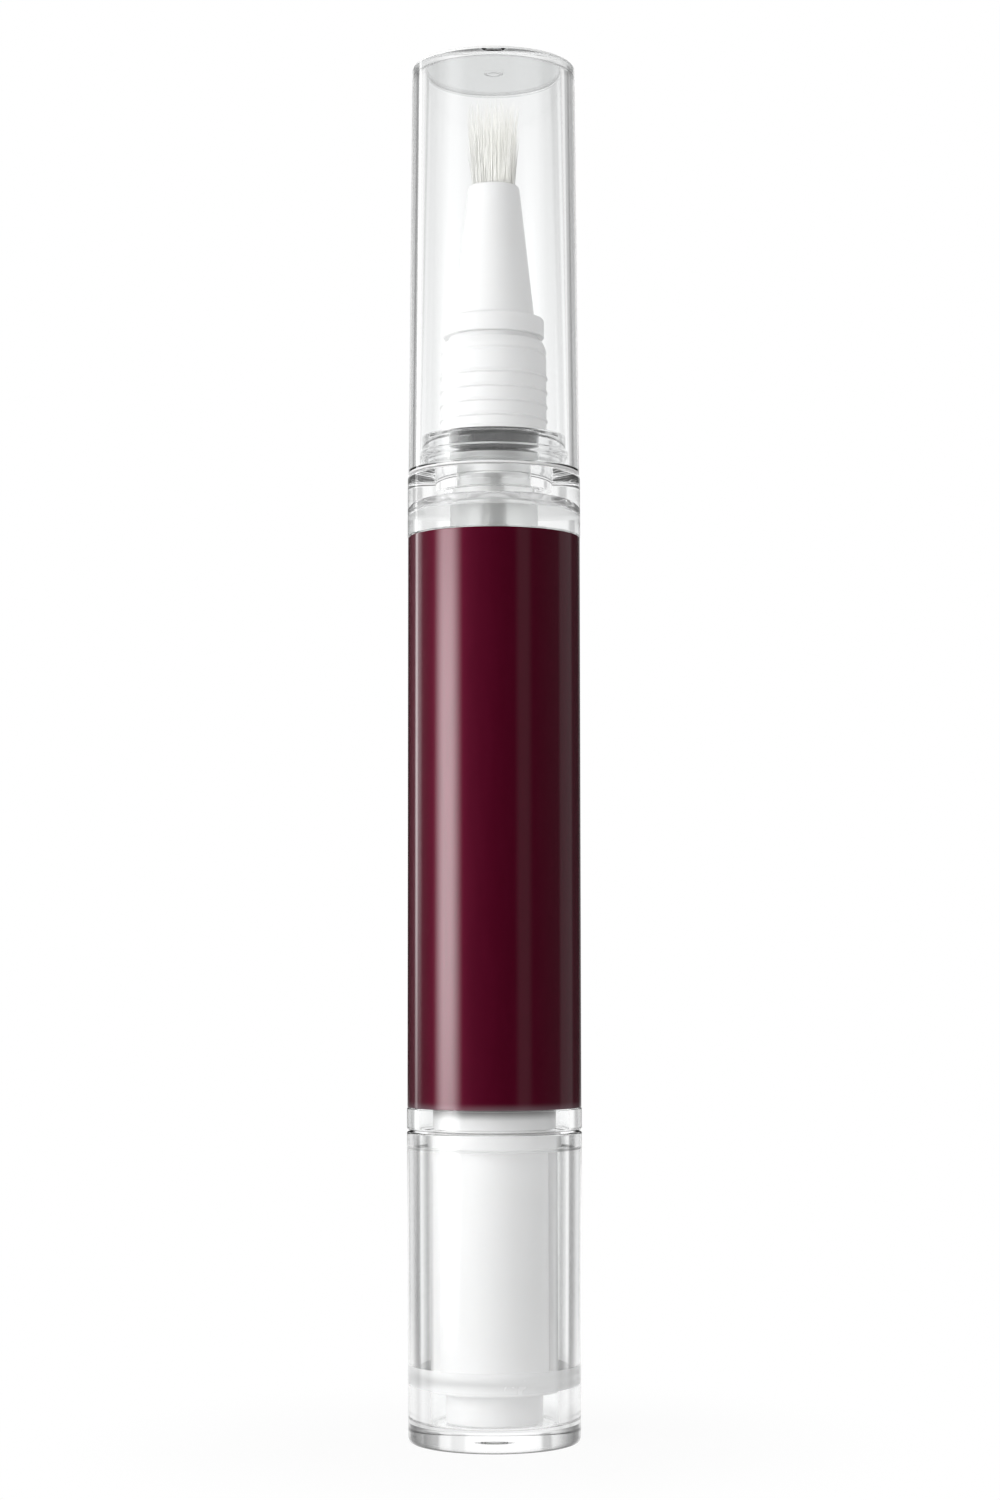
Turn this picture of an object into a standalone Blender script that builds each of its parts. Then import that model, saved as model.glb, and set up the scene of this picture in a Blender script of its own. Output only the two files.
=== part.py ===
"""A twist-up cuticle oil pen: clear cap, brush tip, labelled barrel and clear twist knob.

Turning the knob turns the drive sleeve and the keyed screw rod. The rod climbs in the fixed
nut and pushes the piston, which feeds oil through the steel tube to the bristles.

The pen stands on its knob, with +Z up its axis and the origin at the centre of its foot.
Radii are built up from the screw rod outwards, and heights from the foot upwards, so each
piece takes its place from the piece that carries it.
"""

import math

import bmesh
import bpy
from mathutils import Matrix, Vector

MM = 0.001

# Fits
PRESS_GAP = 0.1 * MM
RUNNING_GAP = 0.15 * MM
SEAT_GAP = 0.1 * MM
END_PLAY = 0.3 * MM
CUT_OVERRUN = 1.0 * MM

# Screw rod
ROD_RADIUS = 2.3 * MM
ROD_HALF_FLAT = 1.5 * MM
ROD_FOOT_ROOM = 0.8 * MM
ROD_NECK_RADIUS = 1.2 * MM
ROD_NECK_LENGTH = 1.2 * MM
ROD_HEAD_RADIUS = 1.8 * MM
ROD_HEAD_LENGTH = 2.2 * MM
ROD_HEAD_TIP_RADIUS = 1.0 * MM
THREAD_DEPTH = 0.55 * MM
THREAD_LEAD = 4.0 * MM
THREAD_GAP = 0.2 * MM
THREAD_STARTS = 2
ROD_STEPS_PER_TURN = 9
TAP_STEPS_PER_TURN = 16
ROD_FACET = 0.8
TAP_FACET = 0.4
CREST_SHARE = 0.25
FLANK_SHARE = 0.15

# Drive sleeve, which the knob turns
SLEEVE_BORE_ROOM = 0.7 * MM
SLEEVE_WALL = 2.27 * MM
SPIGOT_SETBACK = 0.57 * MM
SPIGOT_LENGTH = 3.0 * MM
SLEEVE_COLLAR_STEP = 0.86 * MM
SLEEVE_COLLAR_HEIGHT = 0.9 * MM
SLEEVE_FLANGE_STEP = 1.23 * MM
SLEEVE_FLANGE_HEIGHT = 1.5 * MM
SLEEVE_FLANGE_ROUND = 0.35 * MM
SLEEVE_RIB_WIDTH = 1.2 * MM
JOURNAL_SETBACK = 0.43 * MM
JOURNAL_BEAD = 0.18 * MM
JOURNAL_BEAD_HEIGHT = 0.4 * MM
JOURNAL_FLAT_DEPTH = 0.5 * MM
KEY_LENGTH = 4.6 * MM

# Pawl ring, which clicks round inside the housing
PAWL_RING_HEIGHT = 2.6 * MM
PAWL_HUB_WALL = 0.35 * MM
PAWL_SLOT = 0.22 * MM
PAWL_ARM_WALL = 0.3 * MM
PAWL_TOOTH = 0.2 * MM
PAWL_ARMS = 3
PAWL_ARM_SHARE = 0.72

# Ratchet housing, pressed into the foot of the barrel
BEARING_LENGTH = 3.6 * MM
SKIRT_WALL = 1.0 * MM
SKIRT_LENGTH = 3.3 * MM
HOUSING_INSET = 0.1 * MM
TOOTH_DEPTH = 0.35 * MM
TOOTH_COUNT = 18
PAWL_HEADROOM = 0.55 * MM
HOUSING_WALL = 0.6 * MM

# Thread nut
NUT_LENGTH = 5.5 * MM
NUT_STEP = 0.1 * MM
NUT_FLAT_DEPTH = 0.4 * MM

# Barrel
BARREL_WALL = 1.19 * MM
BARREL_LENGTH = 64.0 * MM
BARREL_ROOF = 2.4 * MM
BARREL_ROOF_CONE = 1.0 * MM
BARREL_EDGE = 0.15 * MM
BARREL_PARTING = 0.2 * MM
LABEL_THICKNESS = 0.2 * MM
LABEL_FOOT = 2.15 * MM
LABEL_HEAD = 6.1 * MM
NECK_LENGTH = 3.8 * MM
NECK_SETBACK = 1.4 * MM
NECK_BEAD = 0.25 * MM
NECK_BEAD_HEIGHT = 0.8 * MM
NECK_BEAD_RISE = 1.5 * MM
NECK_LEDGE = 0.65 * MM
NECK_LEDGE_HEIGHT = 0.8 * MM
NECK_EDGE = 0.2 * MM

# Piston
PISTON_HEIGHT = 7.5 * MM
PISTON_REST_GAP = 0.5 * MM
PISTON_WAIST = 0.6 * MM
PISTON_LIP_HEIGHT = 1.3 * MM
PISTON_CROWN = 1.6 * MM
PISTON_SKIRT_WALL = 1.1 * MM
PISTON_SKIRT_DEPTH = 3.0 * MM
PISTON_HUB_WALL = 1.3 * MM

# Feed tube
TUBE_RADIUS = 1.0 * MM
TUBE_WALL = 0.3 * MM
TUBE_DROP = 0.5 * MM

# Plug in the neck, and the rubber ring on it
PLUG_STEM_WALL = 2.5 * MM
PLUG_STEM_DROP = 5.2 * MM
PLUG_SKIRT_WALL = 0.7 * MM
PLUG_SKIRT_DEPTH = 4.0 * MM
PLUG_STEP = 0.8 * MM
PLUG_HEIGHT = 3.3 * MM
PLUG_RINGS = 3
PLUG_RING_DEPTH = 0.3 * MM
SEAL_HEIGHT = 1.9 * MM
SEAL_INNER_ROOM = 0.2 * MM

# Ribbed collar
COLLAR_OVERHANG = 0.72 * MM
COLLAR_LENGTH = 9.35 * MM
COLLAR_WALL = 0.67 * MM
COLLAR_LIP = 0.35 * MM
COLLAR_LIP_HEIGHT = 0.8 * MM
COLLAR_GROOVE_Z = 1.3 * MM
COLLAR_GROOVE_DEPTH = 0.12 * MM
COLLAR_GROOVE_WIDTH = 0.3 * MM
COLLAR_BASE_HEIGHT = 0.4 * MM
COLLAR_FLOOR = 3.9 * MM
COLLAR_STEM_RADIUS = 2.5 * MM
COLLAR_STEM_DROP = 4.0 * MM
RIB_HEIGHT = 0.13 * MM
RIB_WIDTH = 0.5 * MM
RIB_PITCH = 1.42 * MM
RIB_FOOT = 1.5 * MM
RIB_COUNT = 4

# Brush cone
CONE_SPIGOT_LENGTH = 5.85 * MM
FLANGE_SETBACK = 0.22 * MM
FLANGE_HEIGHT = 1.9 * MM
FLANGE_ROUND = 0.7 * MM
CONE_STEP = 0.9 * MM
CONE_LENGTH = 13.35 * MM
CONE_TIP_WALL = 0.47 * MM
CONE_TIP_ROUND = 0.4 * MM

# Bristle tuft
TUFT_RADIUS = 2.0 * MM
TUFT_DUCT_RADIUS = 0.45 * MM
TUFT_BACKING = 1.1 * MM
TUFT_DEPTH = 2.8 * MM
BRISTLE_LENGTH = 9.1 * MM
BRISTLE_RADIUS = 0.07 * MM
BRISTLE_PITCH = 0.197 * MM
BRISTLE_ROOT = 0.3 * MM
BRISTLE_FALL = 0.9 * MM
BRISTLE_RAGGED = 0.9 * MM
BRISTLE_SPREAD_SHARE = 0.38
BRISTLE_RAGGED_STEP_SHARE = 0.618

# Cap
CAP_WALL = 0.95 * MM
CAP_BORE_ROOM = 0.12 * MM
CAP_OUTER_DRAFT = 0.38 * MM
CAP_BORE_DRAFT = 0.64 * MM
CAP_CEILING = 0.65 * MM
CAP_HEADROOM = 2.3 * MM
CAP_ROUND = 0.5 * MM
CAP_GATE_RADIUS = 0.8 * MM
CAP_GATE_DEPTH = 0.2 * MM
CAP_MOUTH_CHAMFER = 0.2 * MM

# Twist knob
KNOB_LENGTH = 29.75 * MM
KNOB_FLOOR = 2.0 * MM
KNOB_WALL = 1.2 * MM
KNOB_DRAFT = 0.15 * MM
KNOB_FOOT_ROUND = 0.8 * MM
KNOB_RIM_DEPTH = 1.55 * MM
KNOB_RIM_STEP = 0.5 * MM
KNOB_CHAMBER_SLOPE = 0.7 * MM
KNOB_DISH_MARGIN = 0.5 * MM
KNOB_DISH_DEPTH = 0.3 * MM
KNOB_GATE_RADIUS = 1.3 * MM
KNOB_GATE_HEIGHT = 0.15 * MM

# Smoothness
WIDE_SEGMENTS = 40
MIDDLE_SEGMENTS = 32
NARROW_SEGMENTS = 24
ROUND_STEPS = 3

# Radii, from the screw rod outwards
ROOT_RADIUS = ROD_RADIUS - THREAD_DEPTH
SLEEVE_BORE = ROD_RADIUS + SLEEVE_BORE_ROOM
SLEEVE_RADIUS = SLEEVE_BORE + SLEEVE_WALL
SPIGOT_RADIUS = SLEEVE_RADIUS - SPIGOT_SETBACK
SLEEVE_COLLAR_RADIUS = SLEEVE_RADIUS + SLEEVE_COLLAR_STEP
SLEEVE_FLANGE_RADIUS = SLEEVE_RADIUS + SLEEVE_FLANGE_STEP
JOURNAL_RADIUS = SLEEVE_RADIUS - JOURNAL_SETBACK
BEARING_RADIUS = JOURNAL_RADIUS + RUNNING_GAP
PAWL_BORE = JOURNAL_RADIUS + PRESS_GAP
PAWL_HUB_RADIUS = PAWL_BORE + PAWL_HUB_WALL
PAWL_ARM_INNER = PAWL_HUB_RADIUS + PAWL_SLOT
PAWL_ARM_OUTER = PAWL_ARM_INNER + PAWL_ARM_WALL
PAWL_TIP_RADIUS = PAWL_ARM_OUTER + PAWL_TOOTH
TOOTH_TIP_RADIUS = PAWL_TIP_RADIUS + RUNNING_GAP
TOOTH_ROOT_RADIUS = TOOTH_TIP_RADIUS + TOOTH_DEPTH
NUT_SEAT_RADIUS = TOOTH_ROOT_RADIUS + NUT_STEP
NUT_RADIUS = NUT_SEAT_RADIUS - PRESS_GAP
SKIRT_RADIUS = BEARING_RADIUS + SKIRT_WALL
HOUSING_RADIUS = NUT_SEAT_RADIUS + HOUSING_WALL
BARREL_BORE = HOUSING_RADIUS + PRESS_GAP
BARREL_RADIUS = BARREL_BORE + BARREL_WALL
PISTON_RADIUS = BARREL_BORE - RUNNING_GAP
NECK_RADIUS = BARREL_RADIUS - NECK_SETBACK
NECK_BEAD_RADIUS = NECK_RADIUS + NECK_BEAD
TUBE_SEAT_RADIUS = TUBE_RADIUS + PRESS_GAP
PLUG_STEM_RADIUS = TUBE_SEAT_RADIUS + PLUG_STEM_WALL
PLUG_SKIRT_BORE = PLUG_STEM_RADIUS - PLUG_SKIRT_WALL
PLUG_RADIUS = PLUG_STEM_RADIUS + PLUG_STEP
NECK_BORE = PLUG_RADIUS + PRESS_GAP
NECK_LEDGE_BORE = NECK_BORE - NECK_LEDGE
COLLAR_RADIUS = NECK_BORE + COLLAR_OVERHANG
COLLAR_BORE = COLLAR_RADIUS - COLLAR_WALL
PLUG_SOCKET_RADIUS = COLLAR_STEM_RADIUS + PRESS_GAP
SEAL_BORE = COLLAR_STEM_RADIUS + SEAL_INNER_ROOM
CONE_SPIGOT_RADIUS = COLLAR_BORE - PRESS_GAP
FLANGE_RADIUS = COLLAR_RADIUS - FLANGE_SETBACK
CONE_FOOT_RADIUS = FLANGE_RADIUS - CONE_STEP
CONE_SOCKET_RADIUS = TUFT_RADIUS + PRESS_GAP
CONE_TIP_RADIUS = CONE_SOCKET_RADIUS + CONE_TIP_WALL
CAP_MOUTH_BORE = NECK_BEAD_RADIUS + CAP_BORE_ROOM
CAP_MOUTH_RADIUS = CAP_MOUTH_BORE + CAP_WALL
CAP_TOP_RADIUS = CAP_MOUTH_RADIUS - CAP_OUTER_DRAFT
CAP_TOP_BORE = CAP_MOUTH_BORE - CAP_BORE_DRAFT
KNOB_FOOT_RADIUS = BARREL_RADIUS - KNOB_DRAFT
KNOB_BORE = BARREL_RADIUS - KNOB_WALL
KNOB_RIM_BORE = KNOB_BORE + KNOB_RIM_STEP
KNOB_CHAMBER_BORE = SLEEVE_COLLAR_RADIUS + PRESS_GAP

# Heights, from the foot upwards
SLEEVE_FOOT_Z = KNOB_FLOOR + SEAT_GAP
SLEEVE_COLLAR_Z = SLEEVE_FOOT_Z + SPIGOT_LENGTH
SLEEVE_COLLAR_TOP_Z = SLEEVE_COLLAR_Z + SLEEVE_COLLAR_HEIGHT
KNOB_CHAMBER_TOP_Z = SLEEVE_COLLAR_TOP_Z
SLEEVE_FLANGE_TOP_Z = KNOB_LENGTH
SLEEVE_FLANGE_Z = SLEEVE_FLANGE_TOP_Z - SLEEVE_FLANGE_HEIGHT
BARREL_FOOT_Z = KNOB_LENGTH + BARREL_PARTING
HOUSING_FOOT_Z = BARREL_FOOT_Z + HOUSING_INSET
BEARING_TOP_Z = HOUSING_FOOT_Z + BEARING_LENGTH
SKIRT_TOP_Z = HOUSING_FOOT_Z + SKIRT_LENGTH
PAWL_Z = BEARING_TOP_Z + RUNNING_GAP
PAWL_TOP_Z = PAWL_Z + PAWL_RING_HEIGHT
JOURNAL_BEAD_Z = PAWL_TOP_Z + SEAT_GAP
JOURNAL_TOP_Z = JOURNAL_BEAD_Z + JOURNAL_BEAD_HEIGHT
KEY_Z = JOURNAL_TOP_Z - KEY_LENGTH
NUT_SEAT_Z = PAWL_TOP_Z + PAWL_HEADROOM + JOURNAL_BEAD_HEIGHT
NUT_Z = NUT_SEAT_Z + SEAT_GAP
NUT_TOP_Z = NUT_Z + NUT_LENGTH
HOUSING_TOP_Z = NUT_TOP_Z
PISTON_Z = HOUSING_TOP_Z + PISTON_REST_GAP
PISTON_TOP_Z = PISTON_Z + PISTON_HEIGHT
ROD_FOOT_Z = KNOB_FLOOR + ROD_FOOT_ROOM
THREAD_TOP_Z = PISTON_Z + PISTON_SKIRT_DEPTH - SEAT_GAP - ROD_NECK_LENGTH
ROD_HEAD_Z = THREAD_TOP_Z + ROD_NECK_LENGTH
BARREL_TOP_Z = BARREL_FOOT_Z + BARREL_LENGTH
ROOF_Z = BARREL_TOP_Z - BARREL_ROOF
BORE_TOP_Z = ROOF_Z - BARREL_ROOF_CONE
LABEL_Z = BARREL_FOOT_Z + LABEL_FOOT
LABEL_TOP_Z = BARREL_TOP_Z - LABEL_HEAD
RIM_Z = BARREL_TOP_Z + NECK_LENGTH
PLUG_SEAT_Z = ROOF_Z + NECK_LEDGE_HEIGHT
PLUG_Z = PLUG_SEAT_Z + SEAT_GAP
PLUG_TOP_Z = PLUG_Z + PLUG_HEIGHT
PLUG_STEM_Z = PLUG_SEAT_Z - PLUG_STEM_DROP
PLUG_SKIRT_TOP_Z = PLUG_STEM_Z + PLUG_SKIRT_DEPTH
SEAL_Z = PLUG_TOP_Z + SEAT_GAP
SEAL_TOP_Z = SEAL_Z + SEAL_HEIGHT
COLLAR_Z = max(RIM_Z, SEAL_TOP_Z) + SEAT_GAP
COLLAR_TOP_Z = COLLAR_Z + COLLAR_LENGTH
COLLAR_FLOOR_Z = COLLAR_Z + COLLAR_FLOOR
COLLAR_STEM_Z = COLLAR_Z - COLLAR_STEM_DROP
CONE_SPIGOT_Z = COLLAR_FLOOR_Z + SEAT_GAP
FLANGE_Z = CONE_SPIGOT_Z + CONE_SPIGOT_LENGTH
FLANGE_TOP_Z = FLANGE_Z + FLANGE_HEIGHT
CONE_TIP_Z = FLANGE_TOP_Z + CONE_LENGTH
TUFT_SEAT_Z = CONE_TIP_Z - TUFT_DEPTH
TUFT_Z = TUFT_SEAT_Z + SEAT_GAP
TUFT_BACKING_TOP_Z = TUFT_Z + TUFT_BACKING
BRISTLE_TIP_Z = CONE_TIP_Z + BRISTLE_LENGTH
TUBE_Z = PLUG_STEM_Z - TUBE_DROP
TUBE_TOP_Z = TUFT_SEAT_Z
CAP_Z = BARREL_TOP_Z + SEAT_GAP
CAP_CEILING_Z = BRISTLE_TIP_Z + CAP_HEADROOM
CAP_TOP_Z = CAP_CEILING_Z + CAP_CEILING


def clear_scene():
    for old in list(bpy.data.objects):
        bpy.data.objects.remove(old, do_unlink=True)


def new_collection(name):
    made = bpy.data.collections.new(name)
    bpy.context.scene.collection.children.link(made)
    return made


def material(name, colour, roughness, metallic=0.0, clear=0.0):
    made = bpy.data.materials.new(name)
    made.use_nodes = True
    shader = made.node_tree.nodes["Principled BSDF"]
    shader.inputs["Base Color"].default_value = (*colour, 1.0)
    shader.inputs["Roughness"].default_value = roughness
    shader.inputs["Metallic"].default_value = metallic
    shader.inputs["Transmission Weight"].default_value = clear
    return made


def place(name, mesh, collection, finish=None):
    made = bpy.data.objects.new(name, mesh)
    collection.objects.link(made)
    if finish:
        mesh.materials.append(finish)
    return made


def as_helper(obj):
    """Keeps a cutter, or a shape that a union takes in, out of the model itself."""
    obj.hide_render = True
    obj.display_type = "WIRE"
    return obj


def rounded(centre_r, centre_z, radius, start, end, steps=ROUND_STEPS):
    """Points (r, z) round an arc, with its angles in degrees from +r towards +z."""
    points = []
    for step in range(steps + 1):
        angle = math.radians(start + (end - start) * step / steps)
        points.append((centre_r + radius * math.cos(angle), centre_z + radius * math.sin(angle)))
    return points


def turned(name, outline, collection, finish=None, segments=WIDE_SEGMENTS, closed=True):
    """Turns an outline of (r, z) points about Z. It runs down the outside of the piece.

    An outline that isn't closed starts and ends on the axis.
    """
    mesh = bpy.data.meshes.new(name)
    count = len(outline)
    edges = [(i, i + 1) for i in range(count - 1)]
    if closed:
        edges.append((count - 1, 0))
    mesh.from_pydata([(r, 0.0, z) for r, z in outline], edges, [])
    made = place(name, mesh, collection, finish)
    screw = made.modifiers.new("turn", "SCREW")
    screw.axis = "Z"
    screw.angle = math.tau
    screw.steps = segments
    screw.render_steps = segments
    screw.use_merge_vertices = True
    screw.merge_threshold = 1e-6
    screw.use_smooth_shade = True
    return made


def prism(name, outline, foot_z, top_z, collection, finish=None):
    """A flat outline of (x, y) points, extruded from foot_z to top_z."""
    shape = bmesh.new()
    corners = [shape.verts.new((x, y, foot_z)) for x, y in outline]
    face = shape.faces.new(corners)
    grown = bmesh.ops.extrude_face_region(shape, geom=[face])
    moved = [item for item in grown["geom"] if isinstance(item, bmesh.types.BMVert)]
    bmesh.ops.translate(shape, verts=moved, vec=(0.0, 0.0, top_z - foot_z))
    bmesh.ops.recalc_face_normals(shape, faces=shape.faces)
    mesh = bpy.data.meshes.new(name)
    shape.to_mesh(mesh)
    shape.free()
    return place(name, mesh, collection, finish)


def block(name, low, high, collection):
    """A box between two corners."""
    shape = bmesh.new()
    size = Vector(high) - Vector(low)
    middle = (Vector(high) + Vector(low)) / 2
    matrix = Matrix.Translation(middle) @ Matrix.Diagonal((*size, 1.0))
    bmesh.ops.create_cube(shape, size=1.0, matrix=matrix)
    mesh = bpy.data.meshes.new(name)
    shape.to_mesh(mesh)
    shape.free()
    return place(name, mesh, collection)


def boolean(target, operation, other):
    modifier = target.modifiers.new(operation.lower() + "_" + other.name, "BOOLEAN")
    modifier.operation = operation
    modifier.object = as_helper(other)
    modifier.solver = "EXACT"
    return target


def flatted_circle(radius, half_width, segments=NARROW_SEGMENTS):
    """A circle of (x, y) points cut by two flats at x = +half_width and -half_width."""
    reach = math.acos(min(1.0, half_width / radius))
    steps = segments // 2
    points = []
    for side in (0.0, math.pi):
        for step in range(steps + 1):
            angle = side + reach + (math.pi - 2 * reach) * step / steps
            points.append((radius * math.cos(angle), radius * math.sin(angle)))
    return points


def polar(radius, angle):
    return (radius * math.cos(angle), radius * math.sin(angle))


def thread_angle(height):
    """How far the thread's section has turned at a height."""
    return math.tau * height / THREAD_LEAD


def arc_points(radius, start, end, facet):
    """Points (x, y) round an arc, with its ends, no more than a facet's angle apart."""
    steps = math.ceil((end - start) / facet)
    return [polar(radius, start + (end - start) * step / steps) for step in range(steps + 1)]


def thread_section(crest_radius, root_radius, side_gap, facet):
    """Points (x, y) of a cut square across the thread, with one crest for each start."""
    start_span = math.tau / THREAD_STARTS
    crest = start_span * CREST_SHARE + 2 * thread_angle(side_gap)
    flank = start_span * FLANK_SHARE
    points = []
    for start in range(THREAD_STARTS):
        middle = start * start_span
        root_start = middle + crest / 2 + flank
        root_end = middle + start_span - crest / 2 - flank
        points += arc_points(crest_radius, middle - crest / 2, middle + crest / 2, facet)
        points += arc_points(root_radius, root_start, root_end, facet)
    return points


def threaded(name, section, foot_z, top_z, steps_per_turn, collection, finish=None):
    """A section spun up the Z axis along the thread's lead."""
    length = top_z - foot_z
    steps = math.ceil(steps_per_turn * length / THREAD_LEAD)
    shape = bmesh.new()
    lead_in = Matrix.Rotation(thread_angle(foot_z), 4, "Z")
    corners = [shape.verts.new(lead_in @ Vector((x, y, foot_z))) for x, y in section]
    face = shape.faces.new(corners)
    bmesh.ops.spin(
        shape,
        geom=[*corners, *face.edges, face],
        cent=(0.0, 0.0, 0.0),
        axis=(0.0, 0.0, 1.0),
        dvec=(0.0, 0.0, length / steps),
        angle=thread_angle(length),
        steps=steps,
    )
    bmesh.ops.recalc_face_normals(shape, faces=shape.faces)
    mesh = bpy.data.meshes.new(name)
    shape.to_mesh(mesh)
    shape.free()
    return place(name, mesh, collection, finish)


def make_knob(parts, finish):
    dish_radius = KNOB_FOOT_RADIUS - KNOB_FOOT_ROUND - KNOB_DISH_MARGIN
    slope_top_z = KNOB_CHAMBER_TOP_Z + KNOB_CHAMBER_SLOPE
    rim_z = KNOB_LENGTH - KNOB_RIM_DEPTH
    outline = [
        (0.0, KNOB_FLOOR),
        (KNOB_CHAMBER_BORE, KNOB_FLOOR),
        (KNOB_CHAMBER_BORE, KNOB_CHAMBER_TOP_Z),
        (KNOB_BORE, slope_top_z),
        (KNOB_BORE, rim_z),
        (KNOB_RIM_BORE, rim_z),
        (KNOB_RIM_BORE, KNOB_LENGTH),
        (BARREL_RADIUS - BARREL_EDGE, KNOB_LENGTH),
        (BARREL_RADIUS, KNOB_LENGTH - BARREL_EDGE),
    ]
    outline += rounded(KNOB_FOOT_RADIUS - KNOB_FOOT_ROUND, KNOB_FOOT_ROUND, KNOB_FOOT_ROUND, 0, -90)
    outline += [
        (dish_radius, 0.0),
        (dish_radius - KNOB_DISH_DEPTH, KNOB_DISH_DEPTH),
        (KNOB_GATE_RADIUS, KNOB_DISH_DEPTH),
        (KNOB_GATE_RADIUS - KNOB_GATE_HEIGHT, KNOB_DISH_DEPTH - KNOB_GATE_HEIGHT),
        (0.0, KNOB_DISH_DEPTH - KNOB_GATE_HEIGHT),
    ]
    return turned("twist_knob", outline, parts, finish, closed=False)


def make_drive_sleeve(parts, helpers, finish):
    flat = JOURNAL_RADIUS - JOURNAL_FLAT_DEPTH
    bead_radius = JOURNAL_RADIUS + JOURNAL_BEAD
    outline = [
        (ROD_HALF_FLAT, JOURNAL_TOP_Z),
        (JOURNAL_RADIUS, JOURNAL_TOP_Z),
        (bead_radius, JOURNAL_TOP_Z - JOURNAL_BEAD),
        (bead_radius, JOURNAL_BEAD_Z),
        (JOURNAL_RADIUS, JOURNAL_BEAD_Z),
        (JOURNAL_RADIUS, SLEEVE_FLANGE_TOP_Z),
    ]
    outline += rounded(
        SLEEVE_FLANGE_RADIUS - SLEEVE_FLANGE_ROUND,
        SLEEVE_FLANGE_TOP_Z - SLEEVE_FLANGE_ROUND,
        SLEEVE_FLANGE_ROUND,
        90,
        0,
    )
    outline += [
        (SLEEVE_FLANGE_RADIUS, SLEEVE_FLANGE_Z),
        (SLEEVE_RADIUS, SLEEVE_FLANGE_Z),
        (SLEEVE_RADIUS, SLEEVE_COLLAR_TOP_Z),
        (SLEEVE_COLLAR_RADIUS, SLEEVE_COLLAR_TOP_Z),
        (SLEEVE_COLLAR_RADIUS, SLEEVE_COLLAR_Z),
        (SPIGOT_RADIUS, SLEEVE_COLLAR_Z),
        (SPIGOT_RADIUS, SLEEVE_FOOT_Z),
        (SLEEVE_BORE, SLEEVE_FOOT_Z),
        (SLEEVE_BORE, KEY_Z),
        (ROD_HALF_FLAT, KEY_Z),
    ]
    sleeve = turned("drive_sleeve", outline, parts, finish, MIDDLE_SEGMENTS)
    keyway = prism(
        "keyway",
        flatted_circle(ROD_RADIUS + RUNNING_GAP, ROD_HALF_FLAT + RUNNING_GAP),
        KEY_Z - CUT_OVERRUN,
        JOURNAL_TOP_Z + CUT_OVERRUN,
        helpers,
    )
    boolean(sleeve, "DIFFERENCE", keyway)
    for side, name in ((1, "sleeve_rib_right"), (-1, "sleeve_rib_left")):
        low_x, high_x = sorted((side * SPIGOT_RADIUS, side * SLEEVE_COLLAR_RADIUS))
        rib = block(
            name,
            (low_x, -SLEEVE_RIB_WIDTH / 2, (SLEEVE_COLLAR_Z + SLEEVE_COLLAR_TOP_Z) / 2),
            (high_x, SLEEVE_RIB_WIDTH / 2, (SLEEVE_FLANGE_Z + SLEEVE_FLANGE_TOP_Z) / 2),
            helpers,
        )
        boolean(sleeve, "UNION", rib)
    reach = bead_radius + CUT_OVERRUN
    for side, name in ((1, "journal_flat_right"), (-1, "journal_flat_left")):
        low_x, high_x = sorted((side * flat, side * reach))
        cutter = block(
            name,
            (low_x, -reach, BEARING_TOP_Z),
            (high_x, reach, JOURNAL_TOP_Z + CUT_OVERRUN),
            helpers,
        )
        boolean(sleeve, "DIFFERENCE", cutter)
    return sleeve


def pawl_outline():
    """The ring's outside: each arm is cut free from the hub by a slot that is open at its tip."""
    span = math.tau / PAWL_ARMS
    arm = span * PAWL_ARM_SHARE
    arc_steps = 5
    points = []
    for number in range(PAWL_ARMS):
        root = number * span
        tip = root + arm
        tooth = PAWL_TOOTH / PAWL_ARM_OUTER
        points += [polar(PAWL_ARM_OUTER, root + (arm - tooth) * i / arc_steps) for i in range(arc_steps + 1)]
        points.append(polar(PAWL_TIP_RADIUS, tip))
        slot_end = root + PAWL_SLOT / PAWL_ARM_INNER
        points += [polar(PAWL_ARM_INNER, tip + (slot_end - tip) * i / arc_steps) for i in range(arc_steps + 1)]
        next_root = root + span - PAWL_SLOT / PAWL_HUB_RADIUS
        points += [
            polar(PAWL_HUB_RADIUS, slot_end + (next_root - slot_end) * i / (arc_steps + 1))
            for i in range(arc_steps + 2)
        ]
    return points


def make_pawl_ring(parts, helpers, finish):
    ring = prism("pawl_ring", pawl_outline(), PAWL_Z, PAWL_TOP_Z, parts, finish)
    bore = prism(
        "pawl_bore",
        flatted_circle(PAWL_BORE, JOURNAL_RADIUS - JOURNAL_FLAT_DEPTH + PRESS_GAP),
        PAWL_Z - CUT_OVERRUN,
        PAWL_TOP_Z + CUT_OVERRUN,
        helpers,
    )
    return boolean(ring, "DIFFERENCE", bore)


def ratchet_outline():
    """Saw teeth that the pawls ride up one way and catch the other way."""
    points = []
    span = math.tau / TOOTH_COUNT
    for number in range(TOOTH_COUNT):
        start = number * span
        points.append(polar(TOOTH_TIP_RADIUS - PRESS_GAP, start))
        points.append(polar(TOOTH_ROOT_RADIUS, start + PRESS_GAP / TOOTH_ROOT_RADIUS))
        points.append(polar((TOOTH_TIP_RADIUS + TOOTH_ROOT_RADIUS) / 2, start + span / 2))
    return points


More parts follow.
